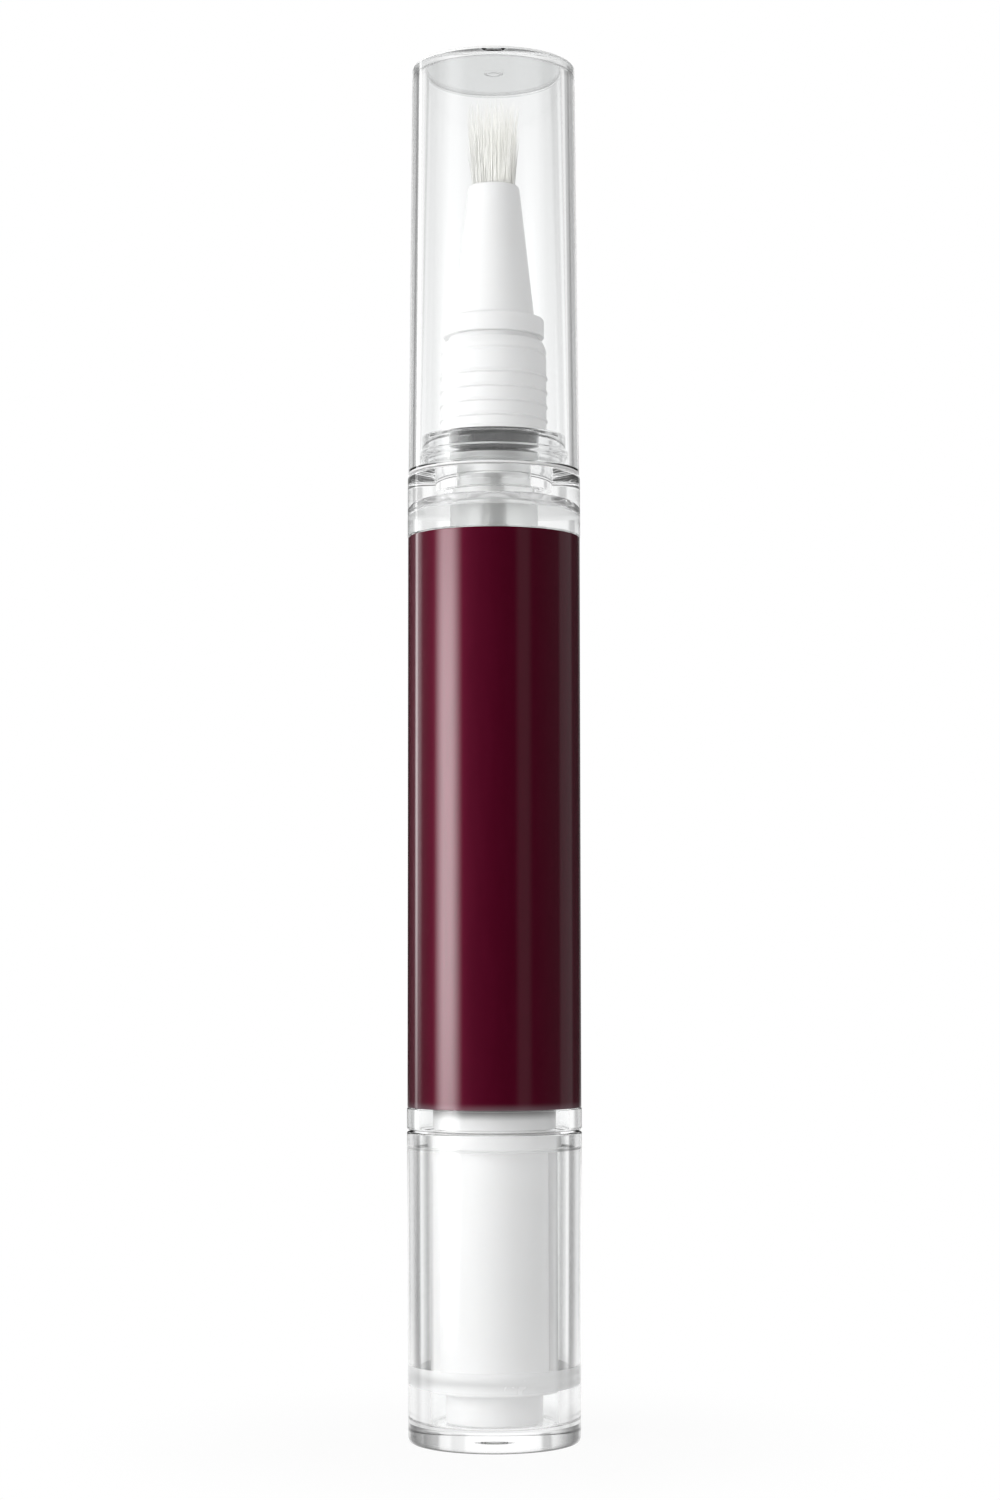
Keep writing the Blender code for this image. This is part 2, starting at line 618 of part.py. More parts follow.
def make_ratchet_housing(parts, helpers, finish):
    outline = [
        (TOOTH_TIP_RADIUS, HOUSING_TOP_Z),
        (HOUSING_RADIUS - PRESS_GAP, HOUSING_TOP_Z),
        (HOUSING_RADIUS, HOUSING_TOP_Z - PRESS_GAP),
        (HOUSING_RADIUS, SKIRT_TOP_Z),
        (SKIRT_RADIUS, SKIRT_TOP_Z - (HOUSING_RADIUS - SKIRT_RADIUS) / 2),
        (SKIRT_RADIUS, HOUSING_FOOT_Z),
        (BEARING_RADIUS, HOUSING_FOOT_Z),
        (BEARING_RADIUS, BEARING_TOP_Z),
        (TOOTH_TIP_RADIUS, BEARING_TOP_Z),
    ]
    housing = turned("ratchet_housing", outline, parts, finish, MIDDLE_SEGMENTS)
    teeth = prism("ratchet_teeth", ratchet_outline(), BEARING_TOP_Z, PAWL_TOP_Z + SEAT_GAP, helpers)
    boolean(housing, "DIFFERENCE", teeth)
    seat = prism(
        "nut_seat",
        flatted_circle(NUT_SEAT_RADIUS, NUT_SEAT_RADIUS - NUT_FLAT_DEPTH, MIDDLE_SEGMENTS),
        NUT_SEAT_Z,
        HOUSING_TOP_Z + CUT_OVERRUN,
        helpers,
    )
    return boolean(housing, "DIFFERENCE", seat)


def make_thread_nut(parts, helpers, finish):
    nut = prism(
        "thread_nut",
        flatted_circle(NUT_RADIUS, NUT_RADIUS - NUT_FLAT_DEPTH, MIDDLE_SEGMENTS),
        NUT_Z,
        NUT_TOP_Z,
        parts,
        finish,
    )
    tap = threaded(
        "nut_tap",
        thread_section(ROD_RADIUS + THREAD_GAP, ROOT_RADIUS + THREAD_GAP, THREAD_GAP, TAP_FACET),
        NUT_Z - CUT_OVERRUN,
        NUT_TOP_Z + CUT_OVERRUN,
        TAP_STEPS_PER_TURN,
        helpers,
    )
    return boolean(nut, "DIFFERENCE", tap)


def make_screw_rod(parts, helpers, finish):
    section = thread_section(ROD_RADIUS, ROOT_RADIUS, 0.0, ROD_FACET)
    rod = threaded("screw_rod", section, ROD_FOOT_Z, THREAD_TOP_Z, ROD_STEPS_PER_TURN, parts, finish)
    reach = ROD_RADIUS + CUT_OVERRUN
    flats = block(
        "rod_flats",
        (-ROD_HALF_FLAT, -reach, ROD_FOOT_Z - CUT_OVERRUN),
        (ROD_HALF_FLAT, reach, THREAD_TOP_Z + CUT_OVERRUN),
        helpers,
    )
    boolean(rod, "INTERSECT", flats)
    head_top_z = ROD_HEAD_Z + ROD_HEAD_LENGTH
    head_outline = [
        (0.0, head_top_z),
        (ROD_HEAD_TIP_RADIUS, head_top_z),
        (ROD_HEAD_RADIUS, ROD_HEAD_Z + ROD_HEAD_LENGTH / 3),
        (ROD_HEAD_RADIUS, ROD_HEAD_Z),
        (ROD_NECK_RADIUS, ROD_HEAD_Z),
        (ROD_NECK_RADIUS, THREAD_TOP_Z - CUT_OVERRUN),
        (0.0, THREAD_TOP_Z - CUT_OVERRUN),
    ]
    head = turned("rod_head", head_outline, helpers, segments=NARROW_SEGMENTS, closed=False)
    return boolean(rod, "UNION", head)


def make_piston(parts, finish):
    waist = PISTON_RADIUS - PISTON_WAIST
    crown_radius = ROD_HEAD_RADIUS + PISTON_HUB_WALL
    socket = ROD_HEAD_RADIUS + RUNNING_GAP
    mouth = ROD_NECK_RADIUS + RUNNING_GAP
    socket_z = ROD_HEAD_Z - RUNNING_GAP
    socket_top_z = ROD_HEAD_Z + ROD_HEAD_LENGTH + RUNNING_GAP
    roof_z = PISTON_Z + PISTON_SKIRT_DEPTH
    skirt = PISTON_RADIUS - PISTON_SKIRT_WALL
    outline = [
        (0.0, PISTON_TOP_Z),
        (crown_radius, PISTON_TOP_Z),
        (waist, PISTON_TOP_Z - PISTON_CROWN),
        (PISTON_RADIUS, PISTON_TOP_Z - PISTON_CROWN),
        (PISTON_RADIUS, PISTON_TOP_Z - PISTON_CROWN - PISTON_LIP_HEIGHT),
        (waist, PISTON_TOP_Z - PISTON_CROWN - PISTON_LIP_HEIGHT - PISTON_WAIST),
        (waist, PISTON_Z + PISTON_LIP_HEIGHT + PISTON_WAIST),
        (PISTON_RADIUS, PISTON_Z + PISTON_LIP_HEIGHT),
        (PISTON_RADIUS, PISTON_Z),
        (skirt, PISTON_Z),
        (skirt, roof_z - PISTON_WAIST),
        (skirt - PISTON_WAIST, roof_z),
        (crown_radius, roof_z),
        (crown_radius, socket_z - ROD_NECK_LENGTH / 2),
        (mouth, socket_z - ROD_NECK_LENGTH / 2),
        (mouth, socket_z),
        (socket, socket_z),
        (socket, socket_top_z),
        (0.0, socket_top_z),
    ]
    return turned("piston", outline, parts, finish, MIDDLE_SEGMENTS, closed=False)


def make_barrel(parts, finish):
    recess = BARREL_RADIUS - LABEL_THICKNESS - PRESS_GAP
    recess_foot_z = LABEL_Z - SEAT_GAP
    recess_top_z = LABEL_TOP_Z + SEAT_GAP
    bead_z = BARREL_TOP_Z + NECK_BEAD_RISE
    outline = [
        (NECK_BORE + NECK_EDGE, RIM_Z),
        (NECK_RADIUS - NECK_EDGE, RIM_Z),
        (NECK_RADIUS, RIM_Z - NECK_EDGE),
        (NECK_RADIUS, bead_z + NECK_BEAD_HEIGHT),
        (NECK_BEAD_RADIUS, bead_z + NECK_BEAD_HEIGHT - NECK_BEAD),
        (NECK_BEAD_RADIUS, bead_z + NECK_BEAD),
        (NECK_RADIUS, bead_z),
        (NECK_RADIUS, BARREL_TOP_Z),
        (BARREL_RADIUS - BARREL_EDGE, BARREL_TOP_Z),
        (BARREL_RADIUS, BARREL_TOP_Z - BARREL_EDGE),
        (BARREL_RADIUS, recess_top_z),
        (recess, recess_top_z),
        (recess, recess_foot_z),
        (BARREL_RADIUS, recess_foot_z),
        (BARREL_RADIUS, BARREL_FOOT_Z + BARREL_EDGE),
        (BARREL_RADIUS - BARREL_EDGE, BARREL_FOOT_Z),
        (BARREL_BORE, BARREL_FOOT_Z),
        (BARREL_BORE, BORE_TOP_Z),
        (BARREL_BORE - BARREL_ROOF_CONE, ROOF_Z),
        (NECK_LEDGE_BORE, ROOF_Z),
        (NECK_LEDGE_BORE, PLUG_SEAT_Z),
        (NECK_BORE, PLUG_SEAT_Z),
        (NECK_BORE, RIM_Z - NECK_EDGE),
    ]
    return turned("barrel", outline, parts, finish)


def make_label(parts, finish):
    inner = BARREL_RADIUS - LABEL_THICKNESS
    outline = [
        (BARREL_RADIUS, LABEL_TOP_Z),
        (BARREL_RADIUS, LABEL_Z),
        (inner, LABEL_Z),
        (inner, LABEL_TOP_Z),
    ]
    return turned("label_sleeve", outline, parts, finish)


def make_neck_plug(parts, finish):
    groove = PLUG_RADIUS - PLUG_RING_DEPTH
    band = PLUG_HEIGHT / (2 * PLUG_RINGS - 1)
    socket_z = COLLAR_STEM_Z - SEAT_GAP
    outline = [(PLUG_SOCKET_RADIUS, PLUG_TOP_Z)]
    for ring in range(PLUG_RINGS):
        top = PLUG_TOP_Z - 2 * ring * band
        outline += [(PLUG_RADIUS, top), (PLUG_RADIUS, top - band)]
        if ring < PLUG_RINGS - 1:
            outline += [(groove, top - band), (groove, top - 2 * band)]
    outline += [
        (PLUG_STEM_RADIUS, PLUG_Z),
        (PLUG_STEM_RADIUS, PLUG_STEM_Z),
        (PLUG_SKIRT_BORE, PLUG_STEM_Z),
        (PLUG_SKIRT_BORE, PLUG_SKIRT_TOP_Z),
        (TUBE_SEAT_RADIUS, PLUG_SKIRT_TOP_Z),
        (TUBE_SEAT_RADIUS, socket_z),
        (PLUG_SOCKET_RADIUS, socket_z),
    ]
    return turned("neck_plug", outline, parts, finish, NARROW_SEGMENTS)


def make_seal_ring(parts, finish):
    outline = [
        (PLUG_RADIUS, SEAL_TOP_Z),
        (PLUG_RADIUS, SEAL_Z),
        (SEAL_BORE, SEAL_Z),
        (SEAL_BORE, SEAL_TOP_Z),
    ]
    return turned("seal_ring", outline, parts, finish, NARROW_SEGMENTS)


def make_feed_tube(parts, finish):
    outline = [
        (TUBE_RADIUS, TUBE_TOP_Z),
        (TUBE_RADIUS, TUBE_Z),
        (TUBE_RADIUS - TUBE_WALL, TUBE_Z),
        (TUBE_RADIUS - TUBE_WALL, TUBE_TOP_Z),
    ]
    return turned("feed_tube", outline, parts, finish, NARROW_SEGMENTS)


def make_collar(parts, finish):
    groove_z = COLLAR_TOP_Z - COLLAR_GROOVE_Z
    outline = [
        (COLLAR_BORE, COLLAR_TOP_Z),
        (COLLAR_RADIUS - COLLAR_LIP, COLLAR_TOP_Z),
        (COLLAR_RADIUS - COLLAR_LIP / 3, COLLAR_TOP_Z - COLLAR_LIP_HEIGHT / 2),
        (COLLAR_RADIUS, COLLAR_TOP_Z - COLLAR_LIP_HEIGHT),
        (COLLAR_RADIUS, groove_z + COLLAR_GROOVE_WIDTH / 2),
        (COLLAR_RADIUS - COLLAR_GROOVE_DEPTH, groove_z),
        (COLLAR_RADIUS, groove_z - COLLAR_GROOVE_WIDTH / 2),
    ]
    for rib in reversed(range(RIB_COUNT)):
        middle = COLLAR_Z + RIB_FOOT + rib * RIB_PITCH
        outline += [
            (COLLAR_RADIUS, middle + RIB_WIDTH / 2),
            (COLLAR_RADIUS + RIB_HEIGHT, middle),
            (COLLAR_RADIUS, middle - RIB_WIDTH / 2),
        ]
    outline += [
        (COLLAR_RADIUS, COLLAR_Z + COLLAR_BASE_HEIGHT + RIB_HEIGHT),
        (COLLAR_RADIUS + RIB_HEIGHT, COLLAR_Z + COLLAR_BASE_HEIGHT),
        (COLLAR_RADIUS + RIB_HEIGHT, COLLAR_Z),
        (COLLAR_STEM_RADIUS, COLLAR_Z),
        (COLLAR_STEM_RADIUS, COLLAR_STEM_Z),
        (TUBE_SEAT_RADIUS, COLLAR_STEM_Z),
        (TUBE_SEAT_RADIUS, COLLAR_FLOOR_Z),
        (COLLAR_BORE, COLLAR_FLOOR_Z),
    ]
    return turned("ribbed_collar", outline, parts, finish, NARROW_SEGMENTS)


def make_brush_cone(parts, finish):
    outline = [(CONE_SOCKET_RADIUS, CONE_TIP_Z)]
    outline += rounded(
        CONE_TIP_RADIUS - CONE_TIP_ROUND,
        CONE_TIP_Z - CONE_TIP_ROUND,
        CONE_TIP_ROUND,
        90,
        0,
    )
    outline += [(CONE_FOOT_RADIUS, FLANGE_TOP_Z)]
    outline += rounded(
        FLANGE_RADIUS - FLANGE_ROUND,
        FLANGE_TOP_Z - FLANGE_ROUND,
        FLANGE_ROUND,
        90,
        0,
    )
    outline += [
        (FLANGE_RADIUS, FLANGE_Z),
        (CONE_SPIGOT_RADIUS, FLANGE_Z),
        (CONE_SPIGOT_RADIUS, CONE_SPIGOT_Z),
        (TUBE_SEAT_RADIUS, CONE_SPIGOT_Z),
        (TUBE_SEAT_RADIUS, TUFT_SEAT_Z),
        (CONE_SOCKET_RADIUS, TUFT_SEAT_Z),
    ]
    return turned("brush_cone", outline, parts, finish, NARROW_SEGMENTS)


def bristle_feet():
    """Points of a close-packed lattice on the backing, round the oil duct."""
    row_height = BRISTLE_PITCH * math.sqrt(3) / 2
    inner = TUFT_DUCT_RADIUS + BRISTLE_PITCH / 2
    outer = TUFT_RADIUS - BRISTLE_PITCH / 2
    rows = math.ceil(outer / row_height)
    for row in range(-rows, rows + 1):
        shift = BRISTLE_PITCH / 2 * (row % 2)
        for column in range(-rows - 1, rows + 2):
            foot = Vector((column * BRISTLE_PITCH + shift, row * row_height))
            if inner <= foot.length <= outer:
                yield foot


def make_tuft(parts, helpers, finish):
    """Fine tapered strands that fan out, fused to a disc that seats in the cone."""
    foot_z = TUFT_BACKING_TOP_Z - BRISTLE_ROOT
    shape = bmesh.new()
    for number, foot in enumerate(bristle_feet()):
        outwards = foot.length / TUFT_RADIUS
        ragged = BRISTLE_RAGGED * (number * BRISTLE_RAGGED_STEP_SHARE % 1)
        tip_z = BRISTLE_TIP_Z - BRISTLE_FALL * outwards**2 - ragged
        low = Vector((*foot, foot_z))
        high = Vector((*(foot * (1 + BRISTLE_SPREAD_SHARE)), tip_z))
        along = high - low
        matrix = Matrix.Translation((low + high) / 2) @ along.to_track_quat("Z", "Y").to_matrix().to_4x4()
        bmesh.ops.create_cone(
            shape,
            cap_ends=True,
            segments=3,
            radius1=BRISTLE_RADIUS,
            radius2=0.0,
            depth=along.length,
            matrix=matrix,
        )
    mesh = bpy.data.meshes.new("bristle_tuft")
    shape.to_mesh(mesh)
    shape.free()
    tuft = place("bristle_tuft", mesh, parts, finish)
    backing_outline = [
        (TUFT_RADIUS, TUFT_BACKING_TOP_Z),
        (TUFT_RADIUS, TUFT_Z),
        (TUFT_DUCT_RADIUS, TUFT_Z),
        (TUFT_DUCT_RADIUS, TUFT_BACKING_TOP_Z),
    ]
    backing = turned("tuft_backing", backing_outline, helpers, segments=NARROW_SEGMENTS)
    return boolean(tuft, "UNION", backing)


def make_cap(parts, finish):
    outline = [
        (0.0, CAP_TOP_Z - CAP_GATE_DEPTH),
        (CAP_GATE_RADIUS - CAP_GATE_DEPTH, CAP_TOP_Z - CAP_GATE_DEPTH),
        (CAP_GATE_RADIUS, CAP_TOP_Z),
    ]
    outline += rounded(CAP_TOP_RADIUS - CAP_ROUND, CAP_TOP_Z - CAP_ROUND, CAP_ROUND, 90, 0)
    outline += [
        (CAP_MOUTH_RADIUS, CAP_Z + CAP_MOUTH_CHAMFER),
        (CAP_MOUTH_RADIUS - CAP_MOUTH_CHAMFER, CAP_Z),
        (CAP_MOUTH_BORE + CAP_MOUTH_CHAMFER, CAP_Z),
        (CAP_MOUTH_BORE, CAP_Z + CAP_MOUTH_CHAMFER),
        (CAP_TOP_BORE, CAP_CEILING_Z),
        (0.0, CAP_CEILING_Z),
    ]
    return turned("cap", outline, parts, finish, closed=False)


def main():
    clear_scene()
    parts = new_collection("cuticle_oil_pen")
    helpers = new_collection("cutters_and_helpers")
    clear_plastic = material("clear_plastic", (0.93, 0.94, 0.94), 0.04, clear=1.0)
    burgundy = material("burgundy_film", (0.075, 0.003, 0.012), 0.2)
    white_plastic = material("white_plastic", (0.9, 0.9, 0.89), 0.35)
    natural_plastic = material("natural_plastic", (0.82, 0.83, 0.82), 0.3, clear=0.6)
    acetal = material("acetal", (0.85, 0.85, 0.83), 0.3)
    rubber = material("grey_rubber", (0.16, 0.16, 0.16), 0.5)
    steel = material("steel", (0.55, 0.55, 0.54), 0.25, metallic=1.0)
    nylon = material("nylon", (0.9, 0.9, 0.86), 0.4)
    make_knob(parts, clear_plastic)
    make_drive_sleeve(parts, helpers, white_plastic)
    make_pawl_ring(parts, helpers, acetal)
    make_ratchet_housing(parts, helpers, white_plastic)
    make_thread_nut(parts, helpers, acetal)
    make_screw_rod(parts, helpers, acetal)
    make_piston(parts, natural_plastic)
    make_barrel(parts, clear_plastic)
    make_label(parts, burgundy)
    make_neck_plug(parts, natural_plastic)
    make_seal_ring(parts, rubber)
    make_feed_tube(parts, steel)
    make_collar(parts, white_plastic)
    make_brush_cone(parts, white_plastic)
    make_tuft(parts, helpers, nylon)
    make_cap(parts, clear_plastic)


main()
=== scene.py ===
"""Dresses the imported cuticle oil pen: clear plastic, white mouldings, a burgundy label and a nylon brush.

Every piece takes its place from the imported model, in metres. Outlines are given in millimetres.
"""

import math
import random

import bmesh
import bpy
from mathutils import Matrix, Vector


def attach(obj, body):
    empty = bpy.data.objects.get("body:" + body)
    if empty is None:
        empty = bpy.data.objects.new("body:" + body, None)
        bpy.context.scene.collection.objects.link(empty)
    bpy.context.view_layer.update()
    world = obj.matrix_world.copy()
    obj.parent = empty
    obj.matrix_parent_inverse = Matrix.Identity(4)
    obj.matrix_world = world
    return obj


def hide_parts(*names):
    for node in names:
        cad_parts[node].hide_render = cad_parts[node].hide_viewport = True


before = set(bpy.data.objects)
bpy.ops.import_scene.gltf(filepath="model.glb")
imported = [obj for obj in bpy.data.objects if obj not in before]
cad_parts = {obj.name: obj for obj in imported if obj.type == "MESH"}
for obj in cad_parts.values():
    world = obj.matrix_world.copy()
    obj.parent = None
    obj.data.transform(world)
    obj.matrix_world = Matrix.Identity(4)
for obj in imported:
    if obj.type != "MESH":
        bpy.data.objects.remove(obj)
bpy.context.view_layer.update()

MM = 0.001

# Mesh detail. HOLD is in millimetres, and HOLD_SHARE is the most of an edge that it takes
SEGMENTS = 192
MIDDLE_SEGMENTS = 128
SMALL_SEGMENTS = 96
TUBE_SEGMENTS = 64
FILLET_STEPS = 5
HOLD = 0.04
HOLD_SHARE = 0.04
ON_AXIS = 1e-9
SHARP_ANGLE = math.radians(38)

# Camera, fitted to the photo's ellipses and edges
IMAGE_HEIGHT = 1500
FOCAL_PIXELS = 2970
SENSOR = 36.0
CAMERA_PLACE = Vector((0.58, -290.9, 46.0)) * MM
CAMERA_TILT = math.radians(4.115)
CAMERA_ROLL = math.radians(-0.057)
CLIP_START = 0.01

# Studio, in degrees: heading, half width, softness, lowest and highest climb, then the strength and, where it
# isn't PANEL_FADE, the softness up and down. Heading 0 is straight behind the pen, and the camera is at 180
PANEL_FADE = 6.0
AMBIENT = 0.48
LAMPS = (
    (-130.0, 25.0, 8.0, -28.0, 42.0, 2.75),
    (74.0, 13.0, 8.0, -28.0, 42.0, 1.4),
)
MAIN_STRIP = (-115.0, 14.0, 10.0, -5.5, 11.0, 5.8)
UPPER_STRIP = (-115.0, 20.0, 12.0, 13.0, 44.0, 1.2, 5.0)
GLOSS_PANELS = (
    (-53.5, 3.3, 2.3, -2.0, 45.0, 3.4),
    (-61.0, 5.0, 4.0, -2.0, 45.0, 0.9),
    (140.0, 9.0, 5.0, -30.0, 45.0, 0.18),
    (67.5, 14.5, 3.0, -30.0, 45.0, 0.2),
    (16.0, 6.0, 4.0, -30.0, 45.0, 0.15),
    (0.0, 24.0, 5.0, 9.5, 60.0, 1.0, 1.5),
    (0.0, 24.0, 5.0, -60.0, -3.5, 1.0, 1.5),
)
REAR_GLOW = 0.015

# Dark flags that only glass shows: heading, half width and depth
FLAGS = ((-27.5, 3.5, 0.4), (37.0, 7.5, 0.42), (17.5, 4.0, 0.2))
FLAG_SOFTNESS = 1.5

# Floor, in millimetres
FLOOR_RADIUS = 150
# The three SHADE values make a painted shadow patch on the floor that only rays through glass see
SHADE_CENTRE = (9, 13)
SHADE_REACH = (4, 18)
SHADE_DEPTH = 0.5

# Brush, in millimetres
BRISTLE_COUNT = 470
LOCK_COUNT = 16
BRISTLE_SIDES = 5
BRISTLE_STEPS = 7
BRISTLE_TAPER = 0.75
BRISTLE_FOOT = 121.2
BRISTLE_HEAD = 132.05
BRUSH_REACH = 2.9

WHITE = (1.0, 1.0, 1.0)


# Node helpers

def new_material(name):
    made = bpy.data.materials.new(name)
    made.use_nodes = True
    tree = made.node_tree
    shader = tree.nodes["Principled BSDF"]
    return made, tree, shader


def link(tree, source, target):
    tree.links.new(source, target)


def feed(tree, value, socket):
    """Sets a socket to a plain number or colour, or links it to another node's output."""
    if isinstance(value, tuple):
        socket.default_value = (*value, 1.0)
    elif isinstance(value, (int, float)):
        socket.default_value = value
    else:
        link(tree, value, socket)


def math_node(tree, operation, first, second=None):
    node = tree.nodes.new("ShaderNodeMath")
    node.operation = operation
    feed(tree, first, node.inputs[0])
    if second is not None:
        feed(tree, second, node.inputs[1])
    return node.outputs[0]


def map_range(tree, value, low, high, to_low=0.0, to_high=1.0):
    node = tree.nodes.new("ShaderNodeMapRange")
    node.interpolation_type = "SMOOTHSTEP"
    link(tree, value, node.inputs["Value"])
    node.inputs["From Min"].default_value = low
    node.inputs["From Max"].default_value = high
    node.inputs["To Min"].default_value = to_low
    node.inputs["To Max"].default_value = to_high
    return node.outputs["Result"]


def noise(tree, scale, detail=2.0, stretch=(1.0, 1.0, 1.0), rough=0.5):
    """Noise in object space, in features per metre, stretched along the axes."""
    place = tree.nodes.new("ShaderNodeTexCoord")
    mapping = tree.nodes.new("ShaderNodeMapping")
    mapping.inputs["Scale"].default_value = stretch
    made = tree.nodes.new("ShaderNodeTexNoise")
    made.inputs["Scale"].default_value = scale
    made.inputs["Detail"].default_value = detail
    made.inputs["Roughness"].default_value = rough
    link(tree, place.outputs["Object"], mapping.inputs["Vector"])
    link(tree, mapping.outputs["Vector"], made.inputs["Vector"])
    return made.outputs["Fac"]


def by_height(tree, low, high):
    """0 below low and 1 above high, in millimetres up the pen."""
    place = tree.nodes.new("ShaderNodeTexCoord")
    parts = tree.nodes.new("ShaderNodeSeparateXYZ")
    link(tree, place.outputs["Object"], parts.inputs[0])
    return map_range(tree, parts.outputs["Z"], low * MM, high * MM)


def mix(tree, factor, low, high, kind="RGBA", blend="MIX"):
    """Mixes two colours, or two numbers where kind is FLOAT."""
    node = tree.nodes.new("ShaderNodeMix")
    node.data_type = kind
    node.blend_type = blend
    feed(tree, factor, node.inputs["Factor"])
    feed(tree, low, node.inputs["A"])
    feed(tree, high, node.inputs["B"])
    return node.outputs["Result"]


def mix_shader(tree, factor, first, second):
    node = tree.nodes.new("ShaderNodeMixShader")
    link(tree, factor, node.inputs["Fac"])
    link(tree, first, node.inputs[1])
    link(tree, second, node.inputs[2])
    return node.outputs["Shader"]


def bump(tree, height, distance, strength=1.0, under=None):
    node = tree.nodes.new("ShaderNodeBump")
    node.inputs["Strength"].default_value = strength
    node.inputs["Distance"].default_value = distance
    link(tree, height, node.inputs["Height"])
    if under is not None:
        link(tree, under, node.inputs["Normal"])
    return node.outputs["Normal"]


# Materials

TINT_STEP = 0.012
# The first grey below is a painted shade on the housing just under the label. The next two make a painted shade
# along the label's lower edge.
PAINTED_SHADE_GREY = (0.12, 0.11, 0.11)
LABEL_PAINTED_SHADE = (0.13, 0.1, 0.11)
LABEL_PAINTED_SHADE_SPAN = (32.0, 32.85)


def let_lamps_through(tree, shader, share):
    """Diffuse and shadow rays pass straight through, and keep the share of their light."""
    rays = tree.nodes.new("ShaderNodeLightPath")
    last = shader.outputs["BSDF"]
    for kind in ("Is Diffuse Ray", "Is Shadow Ray"):
        through = tree.nodes.new("ShaderNodeBsdfTransparent")
        through.inputs["Color"].default_value = (*share, 1.0)
        last = mix_shader(tree, rays.outputs[kind], last, through.outputs["BSDF"])
    link(tree, last, tree.nodes["Material Output"].inputs["Surface"])


def painted_edge_shade(tree, stops):
    """Painted shade: grey by how far round a turned surface a ray meets it, as stops of (share of the radius,
    passing share).
    """
    facing = tree.nodes.new("ShaderNodeLayerWeight")
    facing.inputs["Blend"].default_value = 0.5
    ramp = tree.nodes.new("ShaderNodeValToRGB")
    elements = ramp.color_ramp.elements
    while len(elements) > 1:
        elements.remove(elements[-1])
    for i, (share, passing) in enumerate(stops):
        place = 1.0 - math.sqrt(max(0.0, 1.0 - share * share))
        element = elements[0] if i == 0 else elements.new(place)
        element.position = place
        element.color = (passing ** 2, passing ** 2, passing ** 2, 1.0)
    link(tree, facing.outputs["Facing"], ramp.inputs["Fac"])
    return ramp.outputs["Color"]


def clear_plastic(
    name, stops=None, colour=(0.985, 0.99, 0.99), rough=(0.008, 0.02), wave=0.0012 * MM, ior=1.53, clarity=1.0
):
    """Polished styrene with faint flow marks and hairline wear. Lamps shine through it.

    Towards the outline, stops tint its colour darker, a painted shade for the dark lines of thick walls seen
    edge on. A clarity below 1 makes it part milky.
    """
    made, tree, shader = new_material(name)
    shader.inputs["Transmission Weight"].default_value = clarity
    shader.inputs["IOR"].default_value = ior
    tint = noise(tree, 120.0, 1.0, (1.0, 1.0, 0.3))
    low = tuple(c - TINT_STEP for c in colour)
    tone = mix(tree, tint, low, colour)
    # painted shade: dark lines towards the outline, multiplied into the colour
    if stops:
        tone = mix(tree, 1.0, tone, painted_edge_shade(tree, stops), blend="MULTIPLY")
    link(tree, tone, shader.inputs["Base Color"])
    wear = noise(tree, 900.0, 4.0, (1.0, 1.0, 0.08))
    link(tree, map_range(tree, wear, 0.45, 0.75, *rough), shader.inputs["Roughness"])
    flow = noise(tree, 160.0, 1.0, (1.0, 1.0, 0.25))
    link(tree, bump(tree, flow, wave, 1.0), shader.inputs["Normal"])
    let_lamps_through(tree, shader, WHITE)
    return made


def moulded_plastic(name, colour, dark, rough=(0.32, 0.42), grain=0.003 * MM, soft=0.12, painted_shade_above=None):
    """Moulded polypropylene: a faint cloud in the colour, fine spark grain and soft light inside. Where asked,
    a painted shade greys it above a height.
    """
    made, tree, shader = new_material(name)
    cloud = noise(tree, 260.0, 3.0)
    tone = mix(tree, cloud, dark, colour)
    # painted shade: the colour turns grey above the given height, as if in the shadow of the label's edge
    if painted_shade_above:
        tone = mix(tree, by_height(tree, *painted_shade_above), tone, PAINTED_SHADE_GREY)
    link(tree, tone, shader.inputs["Base Color"])
    patch = noise(tree, 1400.0, 3.0)
    link(tree, map_range(tree, patch, 0.35, 0.7, *rough), shader.inputs["Roughness"])
    shader.inputs["Subsurface Weight"].default_value = soft
    shader.inputs["Subsurface Radius"].default_value = (1.0, 0.95, 0.9)
    shader.inputs["Subsurface Scale"].default_value = 0.6 * MM
    fine = noise(tree, 6000.0, 3.0)
    broad = noise(tree, 500.0, 2.0)
    under = bump(tree, broad, grain * 2.0, 0.6)
    link(tree, bump(tree, fine, grain, 0.5, under), shader.inputs["Normal"])
    return made


